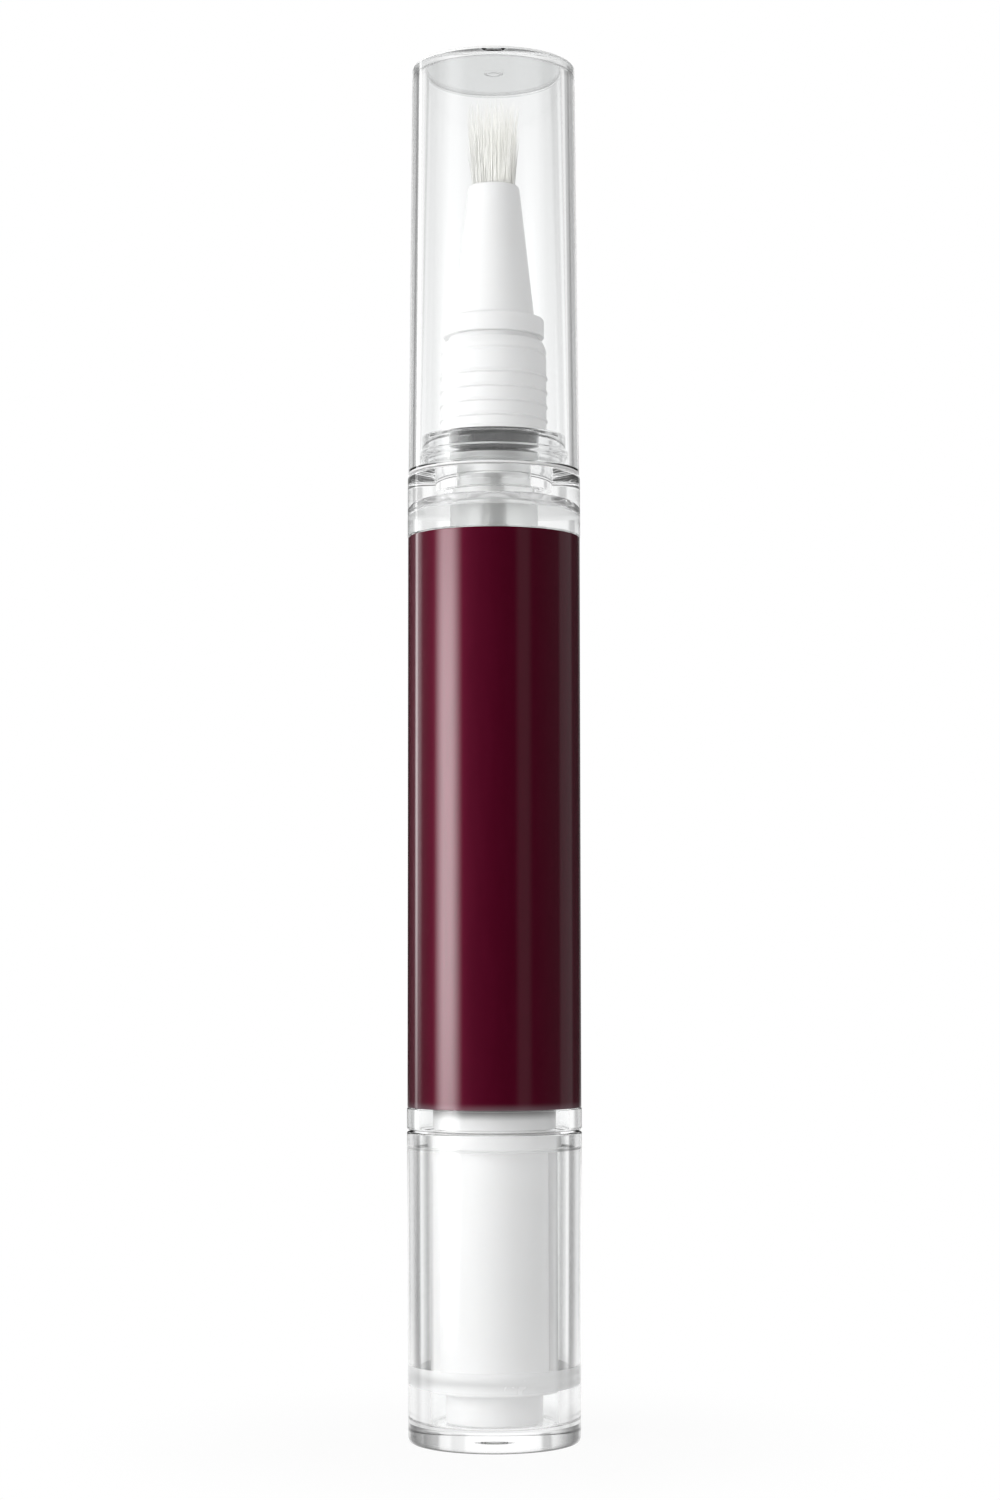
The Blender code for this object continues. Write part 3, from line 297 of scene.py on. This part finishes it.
def label_film(name):
    """Printed burgundy film under a gloss varnish, with a little orange peel and print mottle, and a painted
    shade that greys its lower edge.
    """
    made, tree, shader = new_material(name)
    mottle = noise(tree, 700.0, 4.0)
    ink = mix(tree, mottle, (0.050, 0.0006, 0.0072), (0.058, 0.0010, 0.0090))
    # painted shade: grey at the foot of the label, fading into the ink by 32.85 mm
    ink = mix(tree, by_height(tree, *LABEL_PAINTED_SHADE_SPAN), LABEL_PAINTED_SHADE, ink)
    link(tree, ink, shader.inputs["Base Color"])
    wear = noise(tree, 1500.0, 4.0, (1.0, 1.0, 0.12))
    link(tree, map_range(tree, wear, 0.4, 0.75, 0.42, 0.48), shader.inputs["Roughness"])
    shader.inputs["Specular IOR Level"].default_value = 0.95
    shader.inputs["Specular Tint"].default_value = (1.0, 0.06, 0.24, 1.0)
    shader.inputs["Coat Weight"].default_value = 1.0
    shader.inputs["Coat Roughness"].default_value = 0.09
    shader.inputs["Coat IOR"].default_value = 1.6
    peel = noise(tree, 1100.0, 2.0, (1.0, 1.0, 0.5))
    ripple = noise(tree, 110.0, 1.0, (1.0, 1.0, 0.1))
    under = bump(tree, ripple, 0.003 * MM, 1.0)
    link(tree, bump(tree, peel, 0.0007 * MM, 1.0, under), shader.inputs["Normal"])
    return made


def rubber(name):
    made, tree, shader = new_material(name)
    cloud = noise(tree, 900.0, 4.0)
    link(tree, mix(tree, cloud, (0.01, 0.01, 0.01), (0.022, 0.022, 0.022)), shader.inputs["Base Color"])
    link(tree, map_range(tree, cloud, 0.3, 0.7, 0.16, 0.26), shader.inputs["Roughness"])
    shader.inputs["Specular IOR Level"].default_value = 0.3
    fine = noise(tree, 9000.0, 3.0)
    link(tree, bump(tree, fine, 0.004 * MM, 0.6), shader.inputs["Normal"])
    return made


def steel(name):
    made, tree, shader = new_material(name)
    drawn = noise(tree, 3000.0, 4.0, (1.0, 1.0, 0.02))
    tone = mix(tree, drawn, (0.34, 0.34, 0.34), (0.5, 0.5, 0.49))
    link(tree, tone, shader.inputs["Base Color"])
    shader.inputs["Metallic"].default_value = 1.0
    link(tree, map_range(tree, drawn, 0.3, 0.7, 0.24, 0.4), shader.inputs["Roughness"])
    link(tree, bump(tree, drawn, 0.002 * MM, 0.6), shader.inputs["Normal"])
    return made


def nylon(name):
    """Bristle nylon: pale ivory that passes light from strand to strand."""
    made, tree, shader = new_material(name)
    strand = noise(tree, 5200.0, 2.0, (1.0, 1.0, 0.02))
    tone = mix(tree, strand, (0.97, 0.965, 0.92), (0.995, 0.99, 0.97))
    link(tree, tone, shader.inputs["Base Color"])
    link(tree, map_range(tree, strand, 0.3, 0.7, 0.28, 0.42), shader.inputs["Roughness"])
    let_lamps_through(tree, shader, (0.98, 0.98, 0.965))
    return made


# Shape helpers

def rounded(corners, closed):
    """Points (r, z) along corners of (r, z, length of the fillet), in millimetres.

    A ring close by each end of a fillet keeps the shading of the long walls beside it straight.
    """
    corners = [(*c, 0.0)[:3] for c in corners]
    count = len(corners)
    points = []
    for i, (r, z, fillet) in enumerate(corners):
        here = Vector((r, z))
        at_end = not closed and i in (0, count - 1)
        if fillet <= 0.0 or at_end:
            points.append(here)
            continue
        before = Vector(corners[i - 1][:2]) - here
        after = Vector(corners[(i + 1) % count][:2]) - here
        reach = min(fillet, 0.45 * before.length, 0.45 * after.length)
        start = here + before.normalized() * reach
        end = here + after.normalized() * reach
        points.append(start + before.normalized() * min(HOLD, HOLD_SHARE * before.length))
        for step in range(FILLET_STEPS + 1):
            s = step / FILLET_STEPS
            points.append(start * (1 - s) ** 2 + here * (2 * s * (1 - s)) + end * s ** 2)
        points.append(end + after.normalized() * min(HOLD, HOLD_SHARE * after.length))
    return points


def mesh_object(name, shape, finish):
    bmesh.ops.recalc_face_normals(shape, faces=shape.faces)
    mesh = bpy.data.meshes.new(name)
    shape.to_mesh(mesh)
    shape.free()
    mesh.materials.append(finish)
    mesh.shade_smooth()
    mesh.set_sharp_from_angle(angle=SHARP_ANGLE)
    made = bpy.data.objects.new(name, mesh)
    bpy.context.scene.collection.objects.link(made)
    return made


def revolve(shape, points, closed, segments=SEGMENTS):
    """Adds the surface that points (r, z) in millimetres sweep round Z."""
    rings = []
    for point in points:
        r, z = point * MM
        if r < ON_AXIS:
            rings.append([shape.verts.new((0.0, 0.0, z))])
            continue
        ring = []
        for k in range(segments):
            angle = math.tau * k / segments
            ring.append(shape.verts.new((r * math.cos(angle), r * math.sin(angle), z)))
        rings.append(ring)
    pairs = list(zip(rings, rings[1:]))
    if closed:
        pairs.append((rings[-1], rings[0]))
    for upper, lower in pairs:
        for k in range(segments):
            n = (k + 1) % segments
            if len(upper) == 1:
                shape.faces.new((upper[0], lower[n], lower[k]))
            elif len(lower) == 1:
                shape.faces.new((upper[k], upper[n], lower[0]))
            else:
                shape.faces.new((upper[k], upper[n], lower[n], lower[k]))


def paint(made, finish, chosen):
    """Gives the faces that are chosen, by centre in millimetres and normal, another finish."""
    made.data.materials.append(finish)
    index = len(made.data.materials) - 1
    for face in made.data.polygons:
        if chosen(face.center / MM, face.normal):
            face.material_index = index


def faces_inward(centre, normal):
    """Chooses faces that look at the axis, and steps and ends."""
    return normal.x * centre.x + normal.y * centre.y < 0.0 or abs(normal.z) > 0.3


def zone(low=-math.inf, high=math.inf, inner=-math.inf, outer=math.inf):
    """Chooses faces by level and by distance from the axis, in millimetres."""
    return lambda centre, normal: low < centre.z < high and inner < centre.xy.length < outer


def turned(name, corners, finish, body, node, closed=True, segments=SEGMENTS):
    """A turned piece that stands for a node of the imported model."""
    shape = bmesh.new()
    revolve(shape, rounded(corners, closed), closed, segments)
    made = mesh_object(name, shape, finish)
    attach(made, body)
    if node:
        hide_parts(node)
    return made


# Pieces of the cap and barrel

def make_cap(finish, inside, rim, top, edge):
    head, ceiling, mouth, brow = 135.0, 134.35, 94.05, 6.7
    corners = [
        (0.0, 134.82),
        (0.45, 134.82),
        (0.68, 134.80, 0.08),
        (0.86, head, 0.1),
        (brow, head),
        (8.1, head, 0.28),
        (8.105, ceiling),
        (8.42, mouth, 0.16),
        (7.68, mouth, 0.08),
        (7.47, 94.5, 0.12),
        (6.83, ceiling, 0.25),
        (0.0, ceiling),
    ]
    made = turned("cap_clear", corners, finish, "cap", "cap", closed=False)
    paint(made, inside, faces_inward)
    paint(made, rim, zone(high=mouth + 0.2))
    # painted shade: the cap's flat top faces and its outer edge above the ceiling are tinted grey
    paint(
        made, top, lambda centre, normal: centre.z > ceiling - 0.05 and (abs(normal.z) > 0.95 or normal.z < 0.2)
    )
    paint(made, edge, zone(low=head - 0.28, inner=brow))


def make_barrel(finish, inside, wet, edge, neck):
    radius, bore, foot, shoulder, roof, wrap_end = 8.5, 7.31, 29.95, 93.95, 92.4, 87.95
    corners = [
        (4.5, 97.75, 0.2),
        (7.1, 97.75, 0.25),
        (7.1, 96.25, 0.1),
        (7.35, 96.0, 0.12),
        (7.35, 95.7, 0.12),
        (7.1, 95.45, 0.1),
        (7.1, shoulder, 0.15),
        (radius, shoulder, 0.18),
        (radius, wrap_end, 0.03),
        (8.2, wrap_end),
        (8.2, 32.0),
        (radius, 32.0, 0.03),
        (radius, foot, 0.2),
        (bore, foot, 0.1),
        (bore, 33.4),
        (bore, 90.55, 0.3),
        (6.31, 91.55, 0.3),
        (3.85, 91.55, 0.1),
        (3.85, 92.35, 0.08),
        (4.5, 92.35, 0.08),
    ]
    made = turned("barrel_clear", corners, finish, "barrel", "barrel")
    paint(made, inside, faces_inward)
    paint(made, wet, zone(34.0, roof, outer=bore + 0.09))
    paint(made, edge, zone(90.2, roof, outer=bore + 0.09))
    paint(made, neck, zone(wrap_end + 0.05, shoulder - 0.01, inner=8.3))


def make_label(finish, back):
    """The wrap, a little proud along the lap of its seam at the back, with white ink behind the colour."""
    outer, inner, foot, head = 8.5, 8.3, 32.1, 87.85
    corners = [
        (outer, head, 0.05),
        (outer, foot, 0.05),
        (inner, foot, 0.02),
        (inner, head, 0.02),
    ]
    made = turned("label_wrap", corners, finish, "barrel", "label_sleeve")
    lap = math.radians(24)
    middle = math.radians(90)
    step = 0.045 * MM
    for vertex in made.data.vertices:
        reach = vertex.co.xy.length
        past = math.atan2(vertex.co.y, vertex.co.x) - middle
        if reach > (inner + outer) / 2 * MM and not -lap < past < 0.0:
            vertex.co.x *= (reach - step) / reach
            vertex.co.y *= (reach - step) / reach
    paint(made, back, zone(outer=inner + 0.02))


def make_plug(finish):
    radius, groove, band, top = 4.4, 0.3, 0.66, 95.75
    corners = [(2.6, top, 0.08), (radius, top, 0.12)]
    for number in range(1, 5):
        z = top - number * band
        first, second = (radius, radius - groove) if number % 2 else (radius - groove, radius)
        corners += [(first, z, 0.07), (second, z, 0.07)]
    corners += [
        (radius, 92.45, 0.08),
        (3.6, 92.45, 0.08),
        (3.6, 87.15, 0.15),
        (2.9, 87.15, 0.1),
        (2.9, 91.15, 0.2),
        (1.1, 91.15, 0.05),
        (1.1, 93.75, 0.05),
        (2.6, 93.75, 0.08),
    ]
    turned("plug_natural", corners, finish, "barrel", "neck_plug", segments=MIDDLE_SEGMENTS)


def make_seal(finish):
    corners = [(4.4, 97.75, 0.35), (4.4, 95.85, 0.35), (2.7, 95.85, 0.3), (2.7, 97.75, 0.3)]
    turned("seal_grey", corners, finish, "barrel", "seal_ring", segments=MIDDLE_SEGMENTS)


def make_tube(finish):
    corners = [(1.0, 120.15, 0.06), (1.0, 86.65, 0.06), (0.7, 86.65, 0.04), (0.7, 120.15, 0.04)]
    turned("tube_steel", corners, finish, "barrel", "feed_tube", segments=TUBE_SEGMENTS)


def make_collar(finish):
    radius, foot, head = 5.22, 97.85, 107.2
    ridge, width, pitch, first, count = 0.14, 0.5, 1.42, 1.5, 4
    groove = head - 1.3
    corners = [
        (4.55, head, 0.12),
        (radius - 0.35, head, 0.25),
        (radius - 0.02, head - 0.75, 0.35),
        (radius, groove + 0.2, 0.05),
        (radius - 0.12, groove + 0.05, 0.04),
        (radius - 0.12, groove - 0.05, 0.04),
        (radius, groove - 0.2, 0.08),
    ]
    for rib in reversed(range(count)):
        middle = foot + first + rib * pitch
        corners += [
            (radius, middle + width / 2, 0.12),
            (radius + ridge, middle + 0.04, 0.1),
            (radius + ridge, middle - 0.04, 0.05),
            (radius - 0.03, middle - 0.17, 0.05),
            (radius, middle - 0.32, 0.1),
        ]
    corners += [
        (radius, foot + 0.53, 0.08),
        (radius + ridge, foot + 0.4, 0.08),
        (radius + ridge, foot, 0.06),
        (2.5, foot, 0.05),
        (2.5, 93.85, 0.1),
        (1.1, 93.85, 0.05),
        (1.1, 101.75, 0.05),
        (4.55, 101.75, 0.05),
    ]
    turned("collar_white", corners, finish, "barrel", "ribbed_collar")


def make_cone(finish):
    corners = [
        (2.1, 122.95, 0.1),
        (2.53, 122.95, 0.35),
        (2.63, 122.35, 0.2),
        (4.04, 109.8, 0.3),
        (4.12, 109.6, 0.1),
        (5.0, 109.6, 0.7),
        (5.0, 107.7, 0.15),
        (4.45, 107.7, 0.08),
        (4.45, 101.85, 0.1),
        (1.1, 101.85, 0.05),
        (1.1, 120.15, 0.05),
        (2.1, 120.15, 0.05),
    ]
    turned("cone_white", corners, finish, "barrel", "brush_cone")


def strand(shape, foot, tip, bend, thickness):
    """A fine bristle that tapers and bends outwards towards its tip."""
    rings = []
    for step in range(BRISTLE_STEPS + 1):
        s = step / BRISTLE_STEPS
        centre = foot.lerp(tip, s) + bend * (s * s - s)
        radius = thickness * (1.0 - BRISTLE_TAPER * s ** 2)
        ring = []
        for k in range(BRISTLE_SIDES):
            angle = math.tau * k / BRISTLE_SIDES
            ring.append(shape.verts.new(centre + Vector((math.cos(angle), math.sin(angle), 0.0)) * radius))
        rings.append(ring)
    for lower, upper in zip(rings, rings[1:]):
        for k in range(BRISTLE_SIDES):
            n = (k + 1) % BRISTLE_SIDES
            shape.faces.new((lower[k], lower[n], upper[n], upper[k]))
    shape.faces.new(rings[-1])
    shape.faces.new(list(reversed(rings[0])))


def make_brush(finish):
    """Separate fine strands that fan out of the cone, in loose locks, with a ragged top."""
    chance = random.Random(11)
    shape = bmesh.new()
    golden = math.pi * (3.0 - math.sqrt(5.0))
    locks = [(chance.uniform(0.0, math.tau), chance.uniform(0.3, 1.0)) for _ in range(LOCK_COUNT)]
    for i in range(BRISTLE_COUNT):
        spread = math.sqrt((i + 0.5) / BRISTLE_COUNT)
        angle = i * golden
        foot_r = (0.45 + 1.5 * spread) * MM
        foot = Vector((foot_r * math.cos(angle), foot_r * math.sin(angle), BRISTLE_FOOT * MM))
        lock_angle, lock_spread = locks[chance.randrange(len(locks))]
        top_r = (2.8 * spread ** 0.85 + chance.gauss(0.0, 0.12)) * MM
        top = Vector((top_r * math.cos(angle), top_r * math.sin(angle), 0.0))
        lock = Vector((math.cos(lock_angle), math.sin(lock_angle), 0.0)) * (2.5 * lock_spread * MM)
        top = top.lerp(lock, 0.14 * chance.random())
        limit = BRUSH_REACH * MM
        if top.length > limit:
            top *= limit / top.length
        top.z = (BRISTLE_HEAD - 0.6 * spread ** 2 - 5.0 * chance.random() ** 1.4) * MM
        bend = Vector((top.x - foot.x, top.y - foot.y, 0.0)) * chance.uniform(0.0, 0.5)
        strand(shape, foot, top, bend, chance.uniform(0.038, 0.05) * MM)
    made = mesh_object("brush_bristles", shape, finish)
    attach(made, "barrel")
    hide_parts("bristle_tuft")


def make_backing(finish):
    corners = [(2.0, 121.35, 0.1), (2.0, 120.25, 0.1), (0.45, 120.25, 0.05), (0.45, 121.35, 0.05)]
    turned("brush_root", corners, finish, "barrel", None, segments=SMALL_SEGMENTS)


# Pieces of the knob

def make_knob(finish, inside, base, corner, foot):
    floor, slope, ledge, mouth, bore = 2.0, 7.5, 28.2, 29.75, 7.3
    corners = [
        (0.0, floor),
        (6.23, floor, 0.3),
        (6.23, 5.9, 0.5),
        (bore, 6.8, 0.6),
        (bore, ledge, 0.12),
        (7.8, ledge, 0.12),
        (7.8, mouth, 0.12),
        (8.5, mouth, 0.18),
        (8.387, slope),
        (8.36, floor),
        (8.35, 0.0, 0.8),
        (7.05, 0.0, 0.2),
        (6.75, 0.3, 0.2),
        (1.3, 0.3, 0.06),
        (1.18, 0.15, 0.05),
        (0.0, 0.15),
    ]
    made = turned("knob_clear", corners, finish, "knob", "twist_knob", closed=False)
    paint(made, inside, faces_inward)
    paint(made, foot, zone(floor, slope, inner=8.3))
    paint(made, base, zone(high=floor, inner=7.5))
    paint(made, corner, zone(5.3, slope, outer=bore + 0.1))
    paint(made, corner, zone(ledge - 0.2, ledge + 0.2, outer=7.9))


def make_sleeve(finish):
    corners = [
        (1.9, 36.9, 0.1),
        (4.84, 36.9, 0.1),
        (4.84, 29.75, 0.05),
        (6.5, 29.75, 0.4),
        (6.5, 28.25, 0.12),
        (5.27, 28.25, 0.25),
        (5.27, 6.0, 0.15),
        (6.13, 6.0, 0.12),
        (6.13, 5.1, 0.12),
        (4.7, 5.1, 0.15),
        (4.7, 2.1, 0.15),
        (3.0, 2.1, 0.15),
        (3.0, 32.3, 0.1),
        (1.9, 32.3, 0.1),
    ]
    shape = bmesh.new()
    revolve(shape, rounded(corners, True), True)
    for side in (-1, 1):
        low = Vector((side * 4.9, -0.6, 5.9)) * MM
        high = Vector((side * 6.12, 0.6, 28.35)) * MM
        middle, size = (low + high) / 2, high - low
        matrix = Matrix.Translation(middle) @ Matrix.Diagonal((abs(size.x), size.y, size.z, 1.0))
        made = bmesh.ops.create_cube(shape, size=1.0, matrix=matrix)
        edges = list({e for v in made["verts"] for e in v.link_edges})
        bmesh.ops.bevel(shape, geom=edges, offset=0.12 * MM, segments=2, affect="EDGES")
    sleeve = mesh_object("sleeve_white", shape, finish)
    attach(sleeve, "knob")
    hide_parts("drive_sleeve")


def make_housing(finish):
    corners = [
        (6.61, 42.95, 0.1),
        (7.21, 42.95, 0.12),
        (7.21, 33.35, 0.15),
        (5.99, 32.74, 0.2),
        (5.99, 30.05, 0.15),
        (4.99, 30.05, 0.12),
        (4.99, 33.65, 0.05),
        (6.33, 33.65, 0.05),
        (6.33, 36.5, 0.05),
        (6.16, 36.5, 0.05),
        (6.16, 37.35, 0.05),
        (6.61, 37.35, 0.05),
    ]
    turned("housing_white", corners, finish, "barrel", "ratchet_housing")


# Stage

def add_world():
    """A studio: white all round for the camera and through glass, soft boxes for everything else."""
    world = bpy.data.worlds.new("studio")
    bpy.context.scene.world = world
    world.use_nodes = True
    tree = world.node_tree
    background = tree.nodes["Background"]
    place = tree.nodes.new("ShaderNodeTexCoord")
    parts = tree.nodes.new("ShaderNodeSeparateXYZ")
    link(tree, place.outputs["Generated"], parts.inputs[0])
    x, y, z = parts.outputs
    flat = math_node(tree, "SQRT", math_node(tree, "SUBTRACT", 1.0001, math_node(tree, "MULTIPLY", z, z)))
    climb = math_node(tree, "MULTIPLY", math_node(tree, "ARCSINE", z), 180.0 / math.pi)

    def away(heading):
        """Degrees round Z between a ray and a heading, where 0 is straight behind the pen."""
        turn = math.radians(heading)
        along = math_node(
            tree,
            "ADD",
            math_node(tree, "MULTIPLY", x, math.sin(turn)),
            math_node(tree, "MULTIPLY", y, math.cos(turn)),
        )
        share = math_node(tree, "MINIMUM", math_node(tree, "DIVIDE", along, flat), 1.0)
        share = math_node(tree, "MAXIMUM", share, -1.0)
        return math_node(tree, "MULTIPLY", math_node(tree, "ARCCOSINE", share), 180.0 / math.pi)

    def panel(heading, half_width, softness, low, high, strength, fade=PANEL_FADE):
        across = map_range(tree, away(heading), half_width + softness, half_width - softness)
        middle, half = (low + high) / 2, (high - low) / 2
        up = math_node(tree, "ABSOLUTE", math_node(tree, "SUBTRACT", climb, middle))
        within = map_range(tree, up, half + fade, half - fade)
        shone = math_node(tree, "MULTIPLY", across, within)
        return math_node(tree, "MULTIPLY", shone, strength)

    def total(base, panels):
        for values in panels:
            base = math_node(tree, "ADD", panel(*values), base)
        return base

    lamps = total(AMBIENT, LAMPS)
    rear = map_range(tree, away(180.0), 60.0, 130.0, 0.0, REAR_GLOW)
    main = math_node(tree, "ADD", panel(*MAIN_STRIP), panel(*UPPER_STRIP))
    gloss = total(math_node(tree, "ADD", rear, main), GLOSS_PANELS)

    steep = math_node(tree, "ABSOLUTE", climb)
    high = map_range(tree, climb, 1.0, 5.0)
    seen = math_node(
        tree,
        "MULTIPLY",
        map_range(tree, steep, 10.0, 19.0, 1.1, 0.97),
        map_range(tree, steep, 30.0, 60.0, 1.0, 0.75),
    )
    for heading, reach, depth in FLAGS:
        flag = map_range(tree, away(heading), reach + FLAG_SOFTNESS, reach - FLAG_SOFTNESS)
        flag = math_node(tree, "MULTIPLY", math_node(tree, "MULTIPLY", flag, high), depth)
        seen = math_node(tree, "MULTIPLY", seen, math_node(tree, "SUBTRACT", 1.0, flag))
    seen = math_node(tree, "MAXIMUM", seen, main)

    rays = tree.nodes.new("ShaderNodeLightPath")
    strength = mix(tree, rays.outputs["Is Glossy Ray"], lamps, gloss, "FLOAT")
    strength = mix(tree, rays.outputs["Is Transmission Ray"], strength, seen, "FLOAT")
    strength = mix(tree, rays.outputs["Is Camera Ray"], strength, 1.0, "FLOAT")
    link(tree, strength, background.inputs["Strength"])
    background.inputs["Color"].default_value = (*WHITE, 1.0)


def add_floor():
    """A small pale disc that holds the pen's shadow and fades into the white round it."""
    shape = bmesh.new()
    bmesh.ops.create_circle(shape, cap_ends=True, segments=MIDDLE_SEGMENTS, radius=FLOOR_RADIUS * MM)
    made, tree, shader = new_material("floor_paper")
    mesh = bpy.data.meshes.new("floor")
    shape.to_mesh(mesh)
    shape.free()
    mesh.materials.append(made)
    floor = bpy.data.objects.new("floor", mesh)
    bpy.context.scene.collection.objects.link(floor)
    shader.inputs["Base Color"].default_value = (0.9, 0.9, 0.9, 1.0)
    shader.inputs["Roughness"].default_value = 0.8
    shader.inputs["Specular IOR Level"].default_value = 0.2
    glow = tree.nodes.new("ShaderNodeEmission")
    rays = tree.nodes.new("ShaderNodeLightPath")
    place = tree.nodes.new("ShaderNodeTexCoord")
    length = tree.nodes.new("ShaderNodeVectorMath")
    length.operation = "LENGTH"
    link(tree, place.outputs["Object"], length.inputs[0])
    fade = map_range(tree, length.outputs["Value"], 10 * MM, 45 * MM, 0.93, 1.0)
    seen = math_node(tree, "MAXIMUM", rays.outputs["Is Camera Ray"], rays.outputs["Is Transmission Ray"])
    seen = math_node(tree, "MAXIMUM", seen, rays.outputs["Is Glossy Ray"])
    # painted shadow: a dark patch beside the pen, seen only by rays that came through glass
    shadow = tree.nodes.new("ShaderNodeVectorMath")
    shadow.operation = "DISTANCE"
    link(tree, place.outputs["Object"], shadow.inputs[0])
    shadow.inputs[1].default_value = (SHADE_CENTRE[0] * MM, SHADE_CENTRE[1] * MM, 0.0)
    shade = map_range(tree, shadow.outputs["Value"], SHADE_REACH[0] * MM, SHADE_REACH[1] * MM, SHADE_DEPTH, 0.0)
    shade = math_node(tree, "MULTIPLY", shade, rays.outputs["Is Transmission Ray"])
    fade = math_node(tree, "MULTIPLY", fade, math_node(tree, "SUBTRACT", 1.0, shade))
    share = math_node(tree, "MULTIPLY", fade, seen)
    far = map_range(tree, length.outputs["Value"], 20 * MM, 130 * MM)
    gone = math_node(tree, "MULTIPLY", far, rays.outputs["Is Glossy Ray"])
    through = tree.nodes.new("ShaderNodeBsdfTransparent")
    last = mix_shader(tree, share, shader.outputs["BSDF"], glow.outputs["Emission"])
    last = mix_shader(tree, gone, last, through.outputs["BSDF"])
    link(tree, last, tree.nodes["Material Output"].inputs["Surface"])


def add_camera():
    data = bpy.data.cameras.new("camera")
    data.sensor_width = SENSOR
    data.lens = FOCAL_PIXELS * SENSOR / IMAGE_HEIGHT
    data.clip_start = CLIP_START
    camera = bpy.data.objects.new("camera", data)
    bpy.context.scene.collection.objects.link(camera)
    camera.location = CAMERA_PLACE
    aim = Matrix.Rotation(math.pi / 2 + CAMERA_TILT, 3, "X") @ Matrix.Rotation(CAMERA_ROLL, 3, "Z")
    camera.rotation_euler = aim.to_euler()
    bpy.context.scene.camera = camera


def dress_hidden_nodes(finishes):
    """Carried-over nodes inside the pen get the finish of their kind."""
    for node, finish in finishes.items():
        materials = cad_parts[node].data.materials
        materials.clear()
        materials.append(finish)


# Painted shade towards the outline of the thick walls, as stops of (share of the radius, passing share)
WALL_EDGE_SHADE = (
    (0.0, 1.0), (0.58, 1.0), (0.66, 0.91), (0.74, 0.88), (0.8, 0.94),
    (0.86, 1.0), (0.905, 1.0), (0.926, 0.66), (0.95, 0.64), (0.97, 0.98), (1.0, 1.0),
)
KNOB_EDGE_SHADE = (
    (0.0, 1.0), (0.7, 1.0), (0.725, 0.78), (0.745, 0.62), (0.766, 0.52), (0.789, 0.58),
    (0.811, 0.74), (0.834, 0.9), (0.847, 0.86), (0.86, 0.5), (0.88, 0.38), (0.9, 0.44),
    (0.918, 0.6), (0.937, 0.82), (0.957, 0.97), (1.0, 1.0),
)
FOOT_EDGE_SHADE = (
    (0.0, 1.0), (0.7, 1.0), (0.766, 0.86), (0.834, 0.96), (0.88, 0.78), (0.937, 0.96), (1.0, 1.0),
)
BASE_EDGE_SHADE = (
    (0.0, 1.0), (0.4, 1.0), (0.6, 0.86), (0.72, 0.75), (0.8, 0.5),
    (0.86, 0.33), (0.92, 0.16), (0.965, 0.2), (0.985, 0.6), (1.0, 1.0),
)

# Finishes
clear = clear_plastic("clear_plastic_polished")
clear_wall = clear_plastic("clear_plastic_wall", WALL_EDGE_SHADE)
clear_knob = clear_plastic("clear_plastic_knob", KNOB_EDGE_SHADE)
clear_foot = clear_plastic("clear_plastic_foot", FOOT_EDGE_SHADE)
clear_base = clear_plastic("clear_plastic_base", BASE_EDGE_SHADE)
# painted shade for the cap's top: a grey tint in the clear plastic
clear_top_painted_shade = clear_plastic("clear_plastic_top_painted_shade", None, (0.72, 0.73, 0.73))
clear_edge = clear_plastic(
    "clear_plastic_edge", None, (0.97, 0.975, 0.975), (0.2, 0.3), ior=1.3, clarity=0.22
)
clear_step = clear_plastic(
    "clear_plastic_step", None, (0.96, 0.965, 0.965), (0.04, 0.1), ior=1.2, clarity=0.78
)
clear_neck = clear_plastic(
    "clear_plastic_neck", None, (0.96, 0.965, 0.965), (0.01, 0.03), ior=1.27, clarity=0.88
)
wetted = clear_plastic("clear_plastic_wetted", ior=1.06)
natural = clear_plastic("natural_plastic_cloudy", None, (0.9, 0.905, 0.9), (0.3, 0.45), 0.003 * MM, 1.3)
white = moulded_plastic("white_plastic_moulded", (0.9, 0.9, 0.9), (0.88, 0.88, 0.88))
# the housing gets a painted shade that greys it just under the label's lower edge
white_shaded = moulded_plastic(
    "white_plastic_housing_painted_shade", (0.96, 0.96, 0.96), (0.94, 0.94, 0.94), painted_shade_above=(30.9, 32.1)
)
white_sleeve = moulded_plastic("white_plastic_sleeve", (0.97, 0.97, 0.97), (0.955, 0.955, 0.955))
rim = moulded_plastic("clear_plastic_rim", (0.88, 0.88, 0.88), (0.8, 0.8, 0.8), (0.3, 0.4))
waxy = moulded_plastic("acetal_waxy", (0.84, 0.84, 0.81), (0.8, 0.8, 0.77), (0.25, 0.35))
burgundy = label_film("burgundy_film_gloss")
grey_rubber = rubber("grey_rubber_dull")
tube_steel = steel("steel_drawn")
ivory = nylon("nylon_ivory")

# The pen
make_cap(clear_wall, clear, rim, clear_top_painted_shade, clear_edge)
make_barrel(clear_wall, clear, wetted, clear_step, clear_neck)
make_knob(clear_knob, clear, clear_base, clear_edge, clear_foot)
make_label(burgundy, white)
make_plug(natural)
make_seal(grey_rubber)
make_tube(tube_steel)
make_collar(white)
make_cone(white)
make_sleeve(white_sleeve)
make_housing(white_shaded)
make_brush(ivory)
make_backing(ivory)
dress_hidden_nodes({"piston": waxy, "screw_rod": waxy, "thread_nut": waxy, "pawl_ring": waxy})

add_world()
add_floor()
add_camera()

bpy.context.scene.view_settings.view_transform = "Standard"
